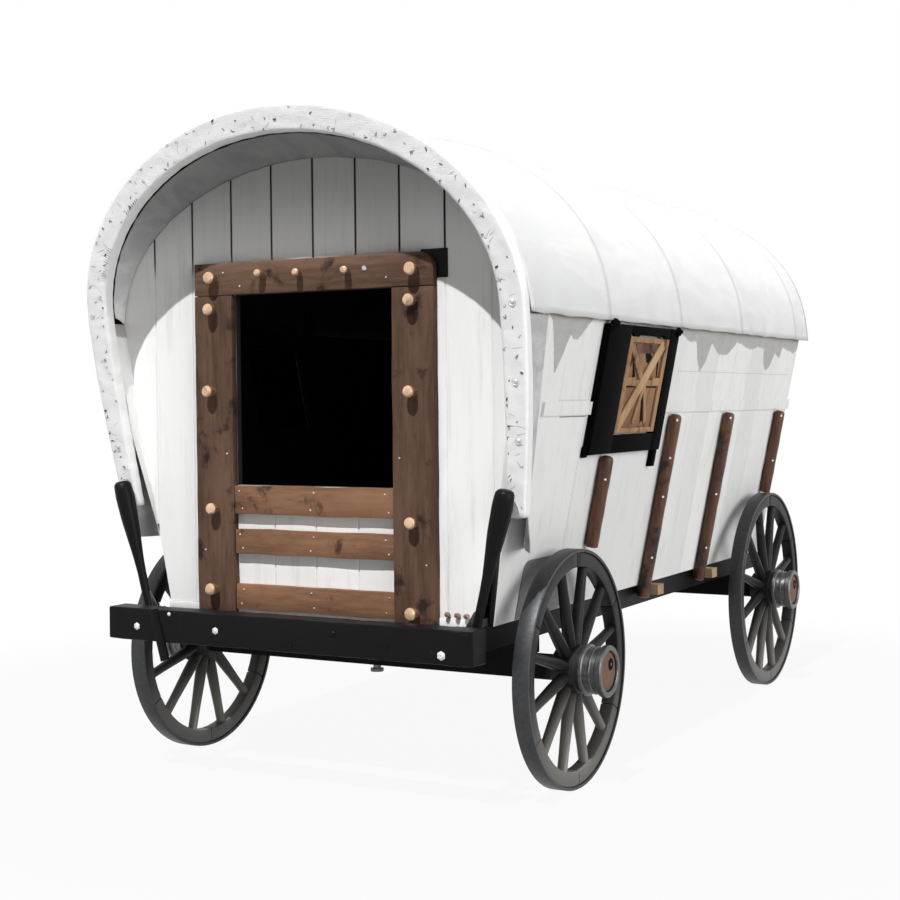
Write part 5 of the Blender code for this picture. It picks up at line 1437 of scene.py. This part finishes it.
THREAD = paint("dark_thread", (0.090, 0.088, 0.087), (0.20, 0.195, 0.19), 0.2, 0.8, 0.0004)
PALE_THREAD_AND_CREASE_SHADE = paint("pale_thread_and_crease_shade", (0.30, 0.295, 0.29), (0.42, 0.415, 0.41), 0.3, 0.8, 0.0004)
marks = {True: [], False: []}
MARKS = 104                  # stitches and loops along the whole arch
PUCKER_SHADE_LINES = 60                 # long faint grey lines: painted shade of puckers in the wrapping
LADDER, PLEAT_SHADE_LINES = 8, 15       # dark rungs on the left shoulder, and below them grey lines as painted shade of pleats
for number in range(MARKS):
    run = 0.010 + 0.980 * (number + random.uniform(-0.4, 0.4)) / MARKS
    row = random.choice((0.16, 0.22, 0.78)) + random.uniform(-0.07, 0.07)
    if random.random() < 0.25:
        row = random.uniform(0.35, 0.70)
    size, turn = random.uniform(0.009, 0.017), random.uniform(0.0, math.pi)
    kind, dark = random.random(), random.random() < 0.55
    if kind < 0.30:
        marks[dark].append(stitch(run, row, size, turn, random.uniform(0.0012, 0.0022)))
    elif kind < 0.62:
        marks[dark].append(stitch(run, row, size, turn, 0.0013))
        marks[dark].append(stitch(run + 0.0012, row + 0.05, size * 0.8, turn + random.uniform(0.7, 1.3), 0.0012))
    elif kind < 0.82:
        marks[dark].append(ring(run, row, size * 0.34, 0.0012, turn, 0.65))
    else:
        marks[dark].append(stitch(run, row, size * 0.9, turn, random.uniform(0.0028, 0.0038)))
# Grey lines across the wrapping stand for its puckers and pleats: painted shade.
for number in range(PUCKER_SHADE_LINES):
    marks[False].append(stitch(random.random() * 0.98 + 0.01, random.uniform(0.2, 0.8), random.uniform(0.02, 0.042),
                               math.pi / 2 + random.uniform(-0.9, 0.9), 0.0006))
for number in range(LADDER):
    marks[True].append(stitch(0.668 + 0.0028 * number, 0.13, 0.011, math.pi / 2 + 0.4, 0.0018))
for number in range(PLEAT_SHADE_LINES):
    marks[False].append(stitch(0.735 + 0.0028 * number, 0.16 + 0.02 * math.sin(number), 0.026 + 0.006 * math.sin(
        number * 2.3), math.pi / 2 + 0.1, 0.0009))
for dark, finish, name in ((True, THREAD, "arch_stitches"), (False, PALE_THREAD_AND_CREASE_SHADE, "arch_pale_marks_and_crease_shade")):
    dress(smooth(joined(name, marks[dark]), 60), finish, "wagon")

EYELETS = (                  # run along the arch, place across its band, radius
    (0.066, 0.60, 0.0105), (0.115, 0.50, 0.0110), (0.180, 0.54, 0.0120), (0.205, 0.12, 0.0060),
    (0.816, 0.72, 0.0120), (0.942, 0.54, 0.0115))
eyelets = []
for run, across, radius in EYELETS:
    eyelets.append(ring(run, across, radius, 0.0022, 0.3, 1.15))
    knob = turned("knob", [(radius * 0.62, -0.001), (radius * 0.62, 0.002), (radius * 0.3, 0.0045)], 14)
    eyelets.append(put(knob, arch_point(run, across, 0.0), FORWARD))
dress(smooth(joined("arch_eyelets", eyelets), 40), NAIL_STEEL, "wagon")
print("marks:", MARKS, "eyelets:", len(EYELETS))

# %% [markdown]
# ## Lining and cheeks
# Under the hood a second cloth runs from the hoop's inner edge back to the top of the end wall, in soft folds
# that run front to back. Outside, a cheek of the same cloth closes the space between each leg of the hoop and
# the side wall, gathered into upright folds. Both could be cloth pinned along two edges and simulated, but rows
# of points with folds of noise and sines can't slip through the wall, and come out the same each time.

# %% Lining
END_RISE = 0.605             # height of the end wall's round top over its straight sides


def lining_rows(parts=170, deep=14):
    """From the hoop's inner edge back to the top of the end wall, with soft folds."""
    half = wall_out(WALL_TOP) - WALL_THICK - 0.0003
    rows = []
    for d in range(deep + 1):
        back = d / deep
        row = []
        for i in range(parts + 1):
            angle = math.pi * i / parts
            front = Vector(((ARCH_HALF - ARCH_BAND) * math.cos(angle),
                            ARCH_SPRING + (ARCH_TOP - ARCH_BAND - ARCH_SPRING) * math.sin(angle)))
            wall = Vector((half * math.cos(angle), WALL_TOP + END_RISE * math.sin(angle)))
            spot = front.lerp(wall, back)
            fold = 0.0035 * noise.noise(Vector((angle * 9.0, back * 1.4, 2.0)))
            fold += 0.0022 * noise.noise(Vector((angle * 24.0, back * 2.0, 5.0)))
            spot -= Vector((math.cos(angle), math.sin(angle))) * (0.004 + fold + 0.004 * math.sin(back * math.pi))
            front_station = arch_front(spot.y) + ARCH_THICK + 0.0005
            row.append((spot.x, at(front_station + back * (-0.0005 - front_station)), spot.y))
        rows.append(row)
    return rows


lining = cloth_piece("hood_underside", lining_rows())
applied(lining, "SOLIDIFY", thickness=0.004, offset=1.0)
dress(lining, LINING_CANVAS, "wagon", ["hood_lining"])


# %% Cheeks
CHEEK_FOOT, CHEEK_HEIGHT, CHEEK_LIFT = 0.932, 0.846, 0.024      # the top edge rises towards the wall
CHEEK_DEPTH = 0.186          # metres from the hoop back along the wall


def cheek_rows(folds=64, parts=170):
    """From the hoop's leg back along the wall, with upright folds."""
    rows = []
    for p in range(parts + 1):
        row = []
        for i in range(folds + 1):
            share = i / folds
            z = CHEEK_FOOT + (CHEEK_HEIGHT + CHEEK_LIFT * share ** 3) * p / parts
            front = arch_front(z) + ARCH_THICK + 0.0008
            far = arch_half(z, ARCH_HALF, ARCH_HALF_FOOT) - 0.010
            near = wall_out(z) + 0.005
            x = far + (near - far) * share ** 0.9
            ripple = math.sin(share * 26.0 + 1.2 * math.sin(z * 4.0)) * 0.0035 * math.sin(share * math.pi) ** 0.5
            ripple += 0.0016 * math.sin(z * 420.0 + 4.0 * share) * math.sin(share * math.pi) ** 0.5
            row.append((x + ripple, at(front + CHEEK_DEPTH * share), z))
        rows.append(row)
    return rows


cheek = cloth_piece("hood_cheek_right_folds", cheek_rows())
applied(cheek, "SOLIDIFY", thickness=0.003, offset=-1.0)
for piece, side in both_sides(cheek, "hood_cheek_%s_folds"):
    smooth(piece, 60)
    dress(piece, CHEEK_CANVAS_SHADED, "wagon", ["hood_cheek_" + side])
print("cheeks:", len(cheek.data.polygons), "faces each")

# %% [markdown]
# ## Window and shutter
# A black frame of four flat boards stands on the side wall, its front board the widest, with a knot of dark cord at
# each upper corner. The shutter hangs inside it: a panel in a border of boards, a middle rail, and crossing
# braces. All of it is built upright in wall coordinates and leaned with the wall by one matrix, which is
# simpler than a leaning start for every board. The left side's pieces are the right side's, mirrored.

# %% Window frame
FRAME_DEEP = 0.034
WINDOW = {"from": 0.594, "to": 1.351, "low": 1.262, "high": 1.772}
PANE = {"from": 0.812, "to": 1.252, "low": 1.335, "high": 1.738}
HINGE_HEIGHT = PANE["high"] - 0.0042


def frame_boards():
    """The right frame's four boards, hinge barrels, leg, cleat and cord knots in one piece."""
    deep = (0.0008, FRAME_DEEP)
    gap = 0.0006
    boards = [
        wall_board("stile", deep, (WINDOW["from"], PANE["from"]), (WINDOW["low"], WINDOW["high"]), 0.004),
        wall_board("stile", deep, (PANE["to"], WINDOW["to"]), (WINDOW["low"], WINDOW["high"]), 0.004),
        wall_board("rail", (0.0008, FRAME_DEEP - 0.002), (PANE["from"] + gap, PANE["to"] - gap),
                   (PANE["high"], WINDOW["high"]), 0.003),
        wall_board("rail", (0.0008, FRAME_DEEP - 0.002), (PANE["from"] + gap, PANE["to"] - gap),
                   (WINDOW["low"], PANE["low"]), 0.003),
    ]
    for station in (PANE["from"] + 0.050, PANE["to"] - 0.050):
        barrel = turned("barrel", [(0.0045, -0.030), (0.006, -0.0285), (0.006, 0.0285), (0.0045, 0.030)], 16)
        hinge = ON_WALL @ Vector((FRAME_DEEP - 0.0018, at(station), HINGE_HEIGHT))
        boards.append(put(barrel, hinge, FORWARD))
    # The rear stile runs on below the rail as a leg, and a cleat holds the front corner.
    boards.append(wall_board("leg", (0.0008, FRAME_DEEP - 0.008), (WINDOW["to"] - 0.040, WINDOW["to"] - 0.002),
                             (1.190, WINDOW["low"] + 0.010), 0.004))
    boards.append(wall_board("cleat", (0.0008, FRAME_DEEP - 0.014), (WINDOW["from"] - 0.012, WINDOW["from"] + 0.024),
                             (WINDOW["low"] - 0.010, WINDOW["low"] + 0.036), 0.006))
    # Each upper corner is tied to the hood with a knot of dark cord: a lump, two turns and a short end.
    for station, up in ((WINDOW["from"] + 0.030, 0.004), (WINDOW["to"] - 0.024, -0.006)):
        place = ON_WALL @ Vector((FRAME_DEEP + 0.001, at(station), WINDOW["high"] - 0.004 + up))
        knot = tower("knot", [(-0.017, 0.008, 0.010), (-0.010, 0.014, 0.017), (0.0, 0.016, 0.020),
                              (0.010, 0.013, 0.017), (0.017, 0.006, 0.009)], 14)
        boards.append(put(roughened(knot, 0.004, 0.02, 3), place))
        for turn in (24, -20):
            loop = turned("turn", [(0.0145, -0.002), (0.0180, -0.0035), (0.0205, 0.0), (0.0180, 0.0035),
                                   (0.0145, 0.002)], 18, ring_shaped=True)
            boards.append(put(loop, place, Matrix.Rotation(math.radians(turn), 4, "X")))
        end = tower("end", [(0.0, 0.0045, 0.0045), (0.020, 0.004, 0.004), (0.040, 0.002, 0.002)], 8)
        boards.append(put(end, place, Matrix.Rotation(math.radians(150), 4, "X")))
    return joined("window_frame", boards)


SHEET_FROM, SHEET_TO, SHEET_LOW, SHEET_HIGH = 0.240, 0.632, 0.657, 0.880
SHEET_NAILS = (                # station, height
    (0.30, 0.862), (0.38, 0.866), (0.47, 0.866), (0.56, 0.866), (0.618, 0.866), (0.252, 0.80), (0.252, 0.74),
    (0.252, 0.68), (0.620, 0.80), (0.620, 0.73))


# A grey sheet on the wall beside the front wheel, where the wall looks grey.
def grey_wheel_sheet():
    """The grey sheet on the wall beside the front wheel, with a rounded upper front corner."""
    sheet = block("grey_wheel_sheet", (0.0008, at(SHEET_FROM), SHEET_LOW), (0.0030, at(SHEET_TO), SHEET_HIGH), 0.0)
    round_corner(sheet, lambda end: end.y < at(SHEET_FROM + 0.01) and end.z > SHEET_HIGH - 0.01, 0.045)
    nails = []
    for station, height in SHEET_NAILS:
        head = turned("nail", [(0.0035, 0.0), (0.0035, 0.0006), (0.0015, 0.0016)], 8)
        nails.append(put(head, (0.0028, at(station), height), OUTWARD))
    return settle(joined("grey_wheel_sheet", [sheet] + nails), ON_WALL)


for piece, side in both_sides(grey_wheel_sheet(), "rub_plate_%s"):
    dress(smooth(piece, 30), GREY_SHEET, "wagon")
frame_right = frame_boards()
for piece, side in both_sides(frame_right, "window_frame_%s_boards"):
    dress(smooth(piece, 32), FRAME_PAINT, "wagon", ["window_frame_" + side])
print("window frame:", len(frame_right.data.polygons), "faces")


# %% Shutter
def strut(name, start, end, width, depths, bevel=0.002, far_width=None):
    """A board across the panel between two (station, height) points, tapered if it has a second width."""
    run = Vector((0.0, end[0] - start[0], end[1] - start[1]))
    board = block(name, (depths[0], -width / 2, -run.length / 2), (depths[1], width / 2, run.length / 2), bevel)
    if far_width:
        for vert in board.data.vertices:
            if vert.co.z > 0.0:
                vert.co.y *= far_width / width
    middle = Vector((0.0, at((start[0] + end[0]) / 2), (start[1] + end[1]) / 2))
    turn = math.atan2(run.y, run.z)
    return settle(board, ON_WALL @ Matrix.Translation(middle) @ Matrix.Rotation(-turn, 4, "X"))


BRACES = (                   # share of the panel's width and height at both ends, width: as in the frame's solid
    ((0.00, 0.00), (0.92, 1.00), 0.052), ((0.05, 0.96), (0.52, 0.52), 0.034), ((0.58, 0.52), (0.42, 0.05), 0.024),
    ((0.58, 0.52), (0.78, 0.05), 0.024), ((0.00, 0.53), (1.00, 0.53), 0.026))
SHADE_STRIPS = (                    # black strips on the panel, painted shade of its gaps and painted shadows under its cleats, as the photo shows them: both ends and both widths
    ((0.165, 0.82), (0.270, 0.590), 0.006, 0.030), ((0.61, 0.895), (0.555, 0.775), 0.200, 0.004),
    ((0.555, 0.41), (0.485, 0.07), 0.004, 0.024), ((0.590, 0.41), (0.705, 0.07), 0.010, 0.034),
    ((0.04, 0.497), (0.33, 0.497), 0.016, 0.014), ((0.66, 0.497), (0.96, 0.497), 0.014, 0.016),
    ((0.88, 0.80), (0.92, 0.60), 0.020, 0.014))


def make_shutter():
    """(panel boards, braces, black strips of painted shade and shadow with the brown inset) of the right shutter."""
    gap = 0.006
    start, end = PANE["from"] + gap, PANE["to"] - gap
    low, high = PANE["low"] + gap, HINGE_HEIGHT - 0.0063
    face, back, edge, panel_face = FRAME_DEEP - 0.001, 0.0045, 0.036, 0.0215     # depths, and a border's width
    count = 4
    wide = (end - start) / count
    boards = [wall_board("plank", (back, panel_face), (start + i * wide + 0.0008, start + (i + 1) * wide - 0.0008),
                         (low, high), 0.0015) for i in range(count)]
    foot, side = low + 0.6 * edge, start + 0.6 * edge
    across, rise = end - 0.6 * edge - side, high - 0.6 * edge - foot

    def spot(share):
        return (side + share[0] * across, foot + share[1] * rise)

    braces = [
        wall_board("border", (panel_face, face), (start, start + edge), (low, high), 0.003),
        wall_board("border", (panel_face, face), (end - edge, end), (low, high), 0.003),
        wall_board("border", (panel_face, face - 0.002), (start + edge, end - edge), (high - edge * 0.6, high), 0.003),
        wall_board("border", (panel_face, face - 0.002), (start + edge, end - edge), (low, low + edge * 0.6), 0.003),
    ]
    for number, (one, two, width) in enumerate(BRACES):
        depths = (panel_face, face - 0.001 - 0.001 * number)
        braces.append(strut("brace", spot(one), spot(two), width, depths, 0.003))
    # Short cleats over the middle rail's ends.
    for one, two in (((0.02, 0.545), (0.26, 0.545)), ((0.76, 0.545), (0.98, 0.545))):
        braces.append(strut("cleat", spot(one), spot(two), 0.034, (panel_face, face), 0.004))
    # Black strips on the panel where its gaps and the shadows under the cleats are: painted shade and painted shadows.
    gaps = [strut("gap", spot(one), spot(two), width, (panel_face - 0.001, panel_face + 0.0006), 0.0, far)
            for one, two, width, far in SHADE_STRIPS]
    for shade_strip in gaps:
        shade_strip.data.materials.append(SHADE_BLACK_PAINT)
    inset = strut("inset", spot((0.17, 0.935)), spot((0.88, 0.935)), 0.036, (panel_face, panel_face + 0.003), 0.001)
    inset.data.materials.append(BROWN["X"])
    gaps.append(inset)
    for number, board in enumerate(braces):
        board.data.materials.append(BRACE_WOOD if number == 4 else BORDER_WOOD)
    return joined("panel", boards), joined("braces", braces), joined("gaps", gaps)


panel, braces, gaps = make_shutter()
for part, material, kind in ((panel, SHUTTER_WOOD, "panel"), (braces, BRACE_WOOD, "braces"),
                             (gaps, SHADE_BLACK_PAINT, "gaps")):
    for piece, side in both_sides(part, "shutter_%%s_%s" % kind):
        dress(smooth(piece, 32), material, "shutter_" + side,
              ["shutter_" + side] if kind == "panel" else [])
print("shutters:", len(panel.data.polygons) + len(braces.data.polygons), "faces each")

# %% [markdown]
# ## Stakes and levers
# The stakes are peeled poles that lean with the wall, with rounded tops, nailed to it from the outside. The
# levers are clubs, thick at the grip, which stand on a flat iron plate with a gusset. Both are towers of rings,
# moved a little along a noise. A curve with a bevel would give a pole too, but not its uneven thickness.

# %% Stakes
STAKE_RADIUS = 0.0285
STAKES = (                   # station, height of the foot, heights of the nails
    (0.794, 0.886, (1.16,)), (1.494, 0.602, (1.385, 1.22, 1.05, 0.78)), (2.224, 0.602, (1.385, 1.02, 0.76)),
    (3.054, 0.982, (1.385, 1.15)))
NAIL_TURN = math.radians(50)         # how far round from the wagon's side to its front the nails sit
SLOPE = math.atan(FLARE)


def make_stake(number, station, foot):
    """A right stake, as long as the frame's, with a slightly uneven thickness."""
    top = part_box("stake_%d_right" % number)[1].z - STAKE_RADIUS * math.sin(SLOPE)
    length = (top - foot) / math.cos(SLOPE)
    rings = [(0.0, 0.020), (0.004, 0.0265)]
    count = max(8, int(length / 0.05))
    for i in range(1, count):
        rings.append((0.01 + (length - 0.03) * i / count, 0.0272 + 0.0008 * math.sin(i * 2.1 + number)))
    rings += [(length - 0.016, 0.0268), (length - 0.007, 0.0235), (length - 0.001, 0.0150), (length, 0.0060)]
    pole = tower("stake", [(height, radius, radius) for height, radius in rings], 20)
    for vert in pole.data.vertices:
        vert.co += noise.noise_vector(vert.co / 0.11 + Vector((number * 5.0, 0, 0))) * 0.0011
    away = (STAKE_RADIUS + 0.0006) / math.cos(SLOPE)
    base = ON_WALL @ Vector((away, at(station), foot))
    return put(pole, base, Matrix.Rotation(SLOPE, 4, "Y"))


for number, (station, foot, nail_heights) in enumerate(STAKES, 1):
    pole = make_stake(number, station, foot)
    for piece, side in both_sides(pole, "stake_%d_%%s_pole" % number):
        dress(smooth(piece, 40), STAKE_WOOD, "wagon", ["stake_%d_%s" % (number, side)])
heads = []
for station, foot, nail_heights in STAKES:
    for height in nail_heights:
        head = turned("nail", [(0.0055, -0.001), (0.0055, 0.0012), (0.0030, 0.0032)], 10)
        away = STAKE_RADIUS * (1 + math.cos(NAIL_TURN)) / math.cos(SLOPE) - 0.0012
        ahead = (STAKE_RADIUS - 0.0012) * math.sin(NAIL_TURN)
        spot = ON_WALL @ Vector((away, at(station - ahead), height))
        heads.append(put(head, spot, Matrix.Rotation(-NAIL_TURN, 4, "Z") @ OUTWARD))
for piece, side in both_sides(joined("stake_nails", heads), "stake_nails_%s"):
    dress(smooth(piece, 30), NAIL_STEEL, "wagon")
print("stakes:", len(STAKES) * 2)

# %% Levers
LEVER_FOOT = Vector((0.735, at(-0.095), 0.6633))
LEVER_TOP = Vector((0.860, at(-0.102), 1.165))
PLATE_TOP = 0.6693
PLATE_BOLTS = (0.660, 0.684, 0.706)
CLUB = (                     # share of the length, radius
    (0.00, 0.0165), (0.10, 0.0170), (0.28, 0.0175), (0.40, 0.0205), (0.50, 0.0250), (0.60, 0.0295),
    (0.70, 0.0340), (0.80, 0.0365), (0.88, 0.0378), (0.940, 0.0362), (0.975, 0.0345), (0.992, 0.0290),
    (1.00, 0.0230))


def make_lever():
    """A club that leans out from a flat iron plate on the beam's rear edge."""
    run = LEVER_TOP - LEVER_FOOT
    club = turned("club", [(radius, share * run.length) for share, radius in CLUB], 24)
    put(club, LEVER_FOOT, run.to_track_quat("Z", "Y").to_matrix().to_4x4())
    roughened(club, 0.0014, 0.07, 3)
    y = LEVER_FOOT.y
    plate = [block("shelf", (0.645, y - 0.018, 0.6555), (0.7525, y + 0.018, PLATE_TOP), 0.002)]
    for x in PLATE_BOLTS:
        bolt = turned("bolt", [(0.0065, -0.001), (0.0065, 0.004), (0.004, 0.0055)], 6)
        plate.append(put(bolt, (x, y, PLATE_TOP)))
    # A gusset stands in the corner between the plate and the club.
    gusset = block("gusset", (0.690, y - 0.003, PLATE_TOP - 0.001), (0.733, y + 0.003, PLATE_TOP + 0.062), 0.0)
    for vert in gusset.data.vertices:
        if vert.co.x < 0.70 and vert.co.z > PLATE_TOP + 0.01:
            vert.co.x, vert.co.z = 0.728, PLATE_TOP + 0.060
    plate.append(gusset)
    return club, joined("plate", plate)


club, plate = make_lever()
for part, material, slot, kind in ((club, LEVER_PAINT, "black_paint", "club"), (plate, HUB_IRON, "iron", "plate")):
    for piece, side in both_sides(part, "lever_%%s_%s" % kind):
        dress(smooth(piece, 40), material, "wagon", ["lever_" + side] if kind == "club" else [])
print("levers ready")

# %% [markdown]
# ## Beam and its iron
# The front beam is a hewn timber painted black, with bolt heads on its face and a flat strap down over its left
# half. The frame's solid has sharp edges, so a rounded copy stands for it: a block cut into slices and moved
# along a noise, which stays inside the solid's box. Sculpting would give hewn faces too, but not the same each run.

# %% Beam
BEAM_LOW, BEAM_HIGH = Vector((-0.806, at(-0.256), 0.560)), Vector((0.806, at(-0.156), 0.685))
STRAP = ((-0.585, 0.6845), (-0.530, 0.490))     # its middle line on the beam's left front, from top to bottom
STRAP_WIDTH, STRAP_PROUD = 0.036, 0.006
BEAM_SLICES, STRAP_SLICES = 48, 10
BOLTS = (                    # sideways, height, radius, bright
    (-0.666, 0.615, 0.0100, True), (-0.290, 0.620, 0.0095, True), (0.681, 0.594, 0.0115, True),
    (0.237, 0.642, 0.0100, False), (-0.508, 0.671, 0.0050, True), (0.05, 0.585, 0.0060, False),
    (0.46, 0.610, 0.0050, False))
beam = block("front_beam_hewn", BEAM_LOW, BEAM_HIGH, 0.006, 3)
sliced(beam, 0, BEAM_LOW.x, BEAM_HIGH.x - BEAM_LOW.x, BEAM_SLICES)
for vert in beam.data.vertices:
    vert.co += noise.noise_vector(vert.co / 0.07) * 0.0035
    for axis in range(3):
        vert.co[axis] = min(max(vert.co[axis], BEAM_LOW[axis]), BEAM_HIGH[axis])
top, bottom = (Vector((x, BEAM_LOW.y, z)) for x, z in STRAP)
drop = top - bottom
strap = block("strap", (-STRAP_WIDTH / 2, -STRAP_PROUD, 0.0), (STRAP_WIDTH / 2, 0.008, drop.length), 0.0015)
sliced(strap, 2, 0.0, drop.length, STRAP_SLICES)
put(strap, bottom, Matrix.Rotation(math.atan2(drop.x, drop.z), 4, "Y"))
for vert in strap.data.vertices:
    vert.co.y = max(vert.co.y, BEAM_LOW.y - STRAP_PROUD)
dress(smooth(joined("front_beam_hewn", [beam, strap]), 32), BLACK_PAINT, "wagon", ["front_beam"])
bolts, dark = [], []
for x, z, radius, bright in BOLTS:
    head = turned("bolt", [(radius * 1.5, 0.0), (radius * 1.5, 0.0015), (radius, 0.002), (radius, 0.0055),
                           (radius * 0.8, 0.0068)], 6 if radius > 0.008 else 12)
    put(head, (x, BEAM_LOW.y + 0.0012, z), FORWARD)
    (bolts if bright else dark).append(head)
dress(smooth(joined("beam_bolts", bolts), 30), BOLT_STEEL, "wagon")
dress(smooth(joined("beam_dark_bolts", dark), 30), LEVER_PAINT, "wagon")
print("beam bolts:", len(bolts) + len(dark))
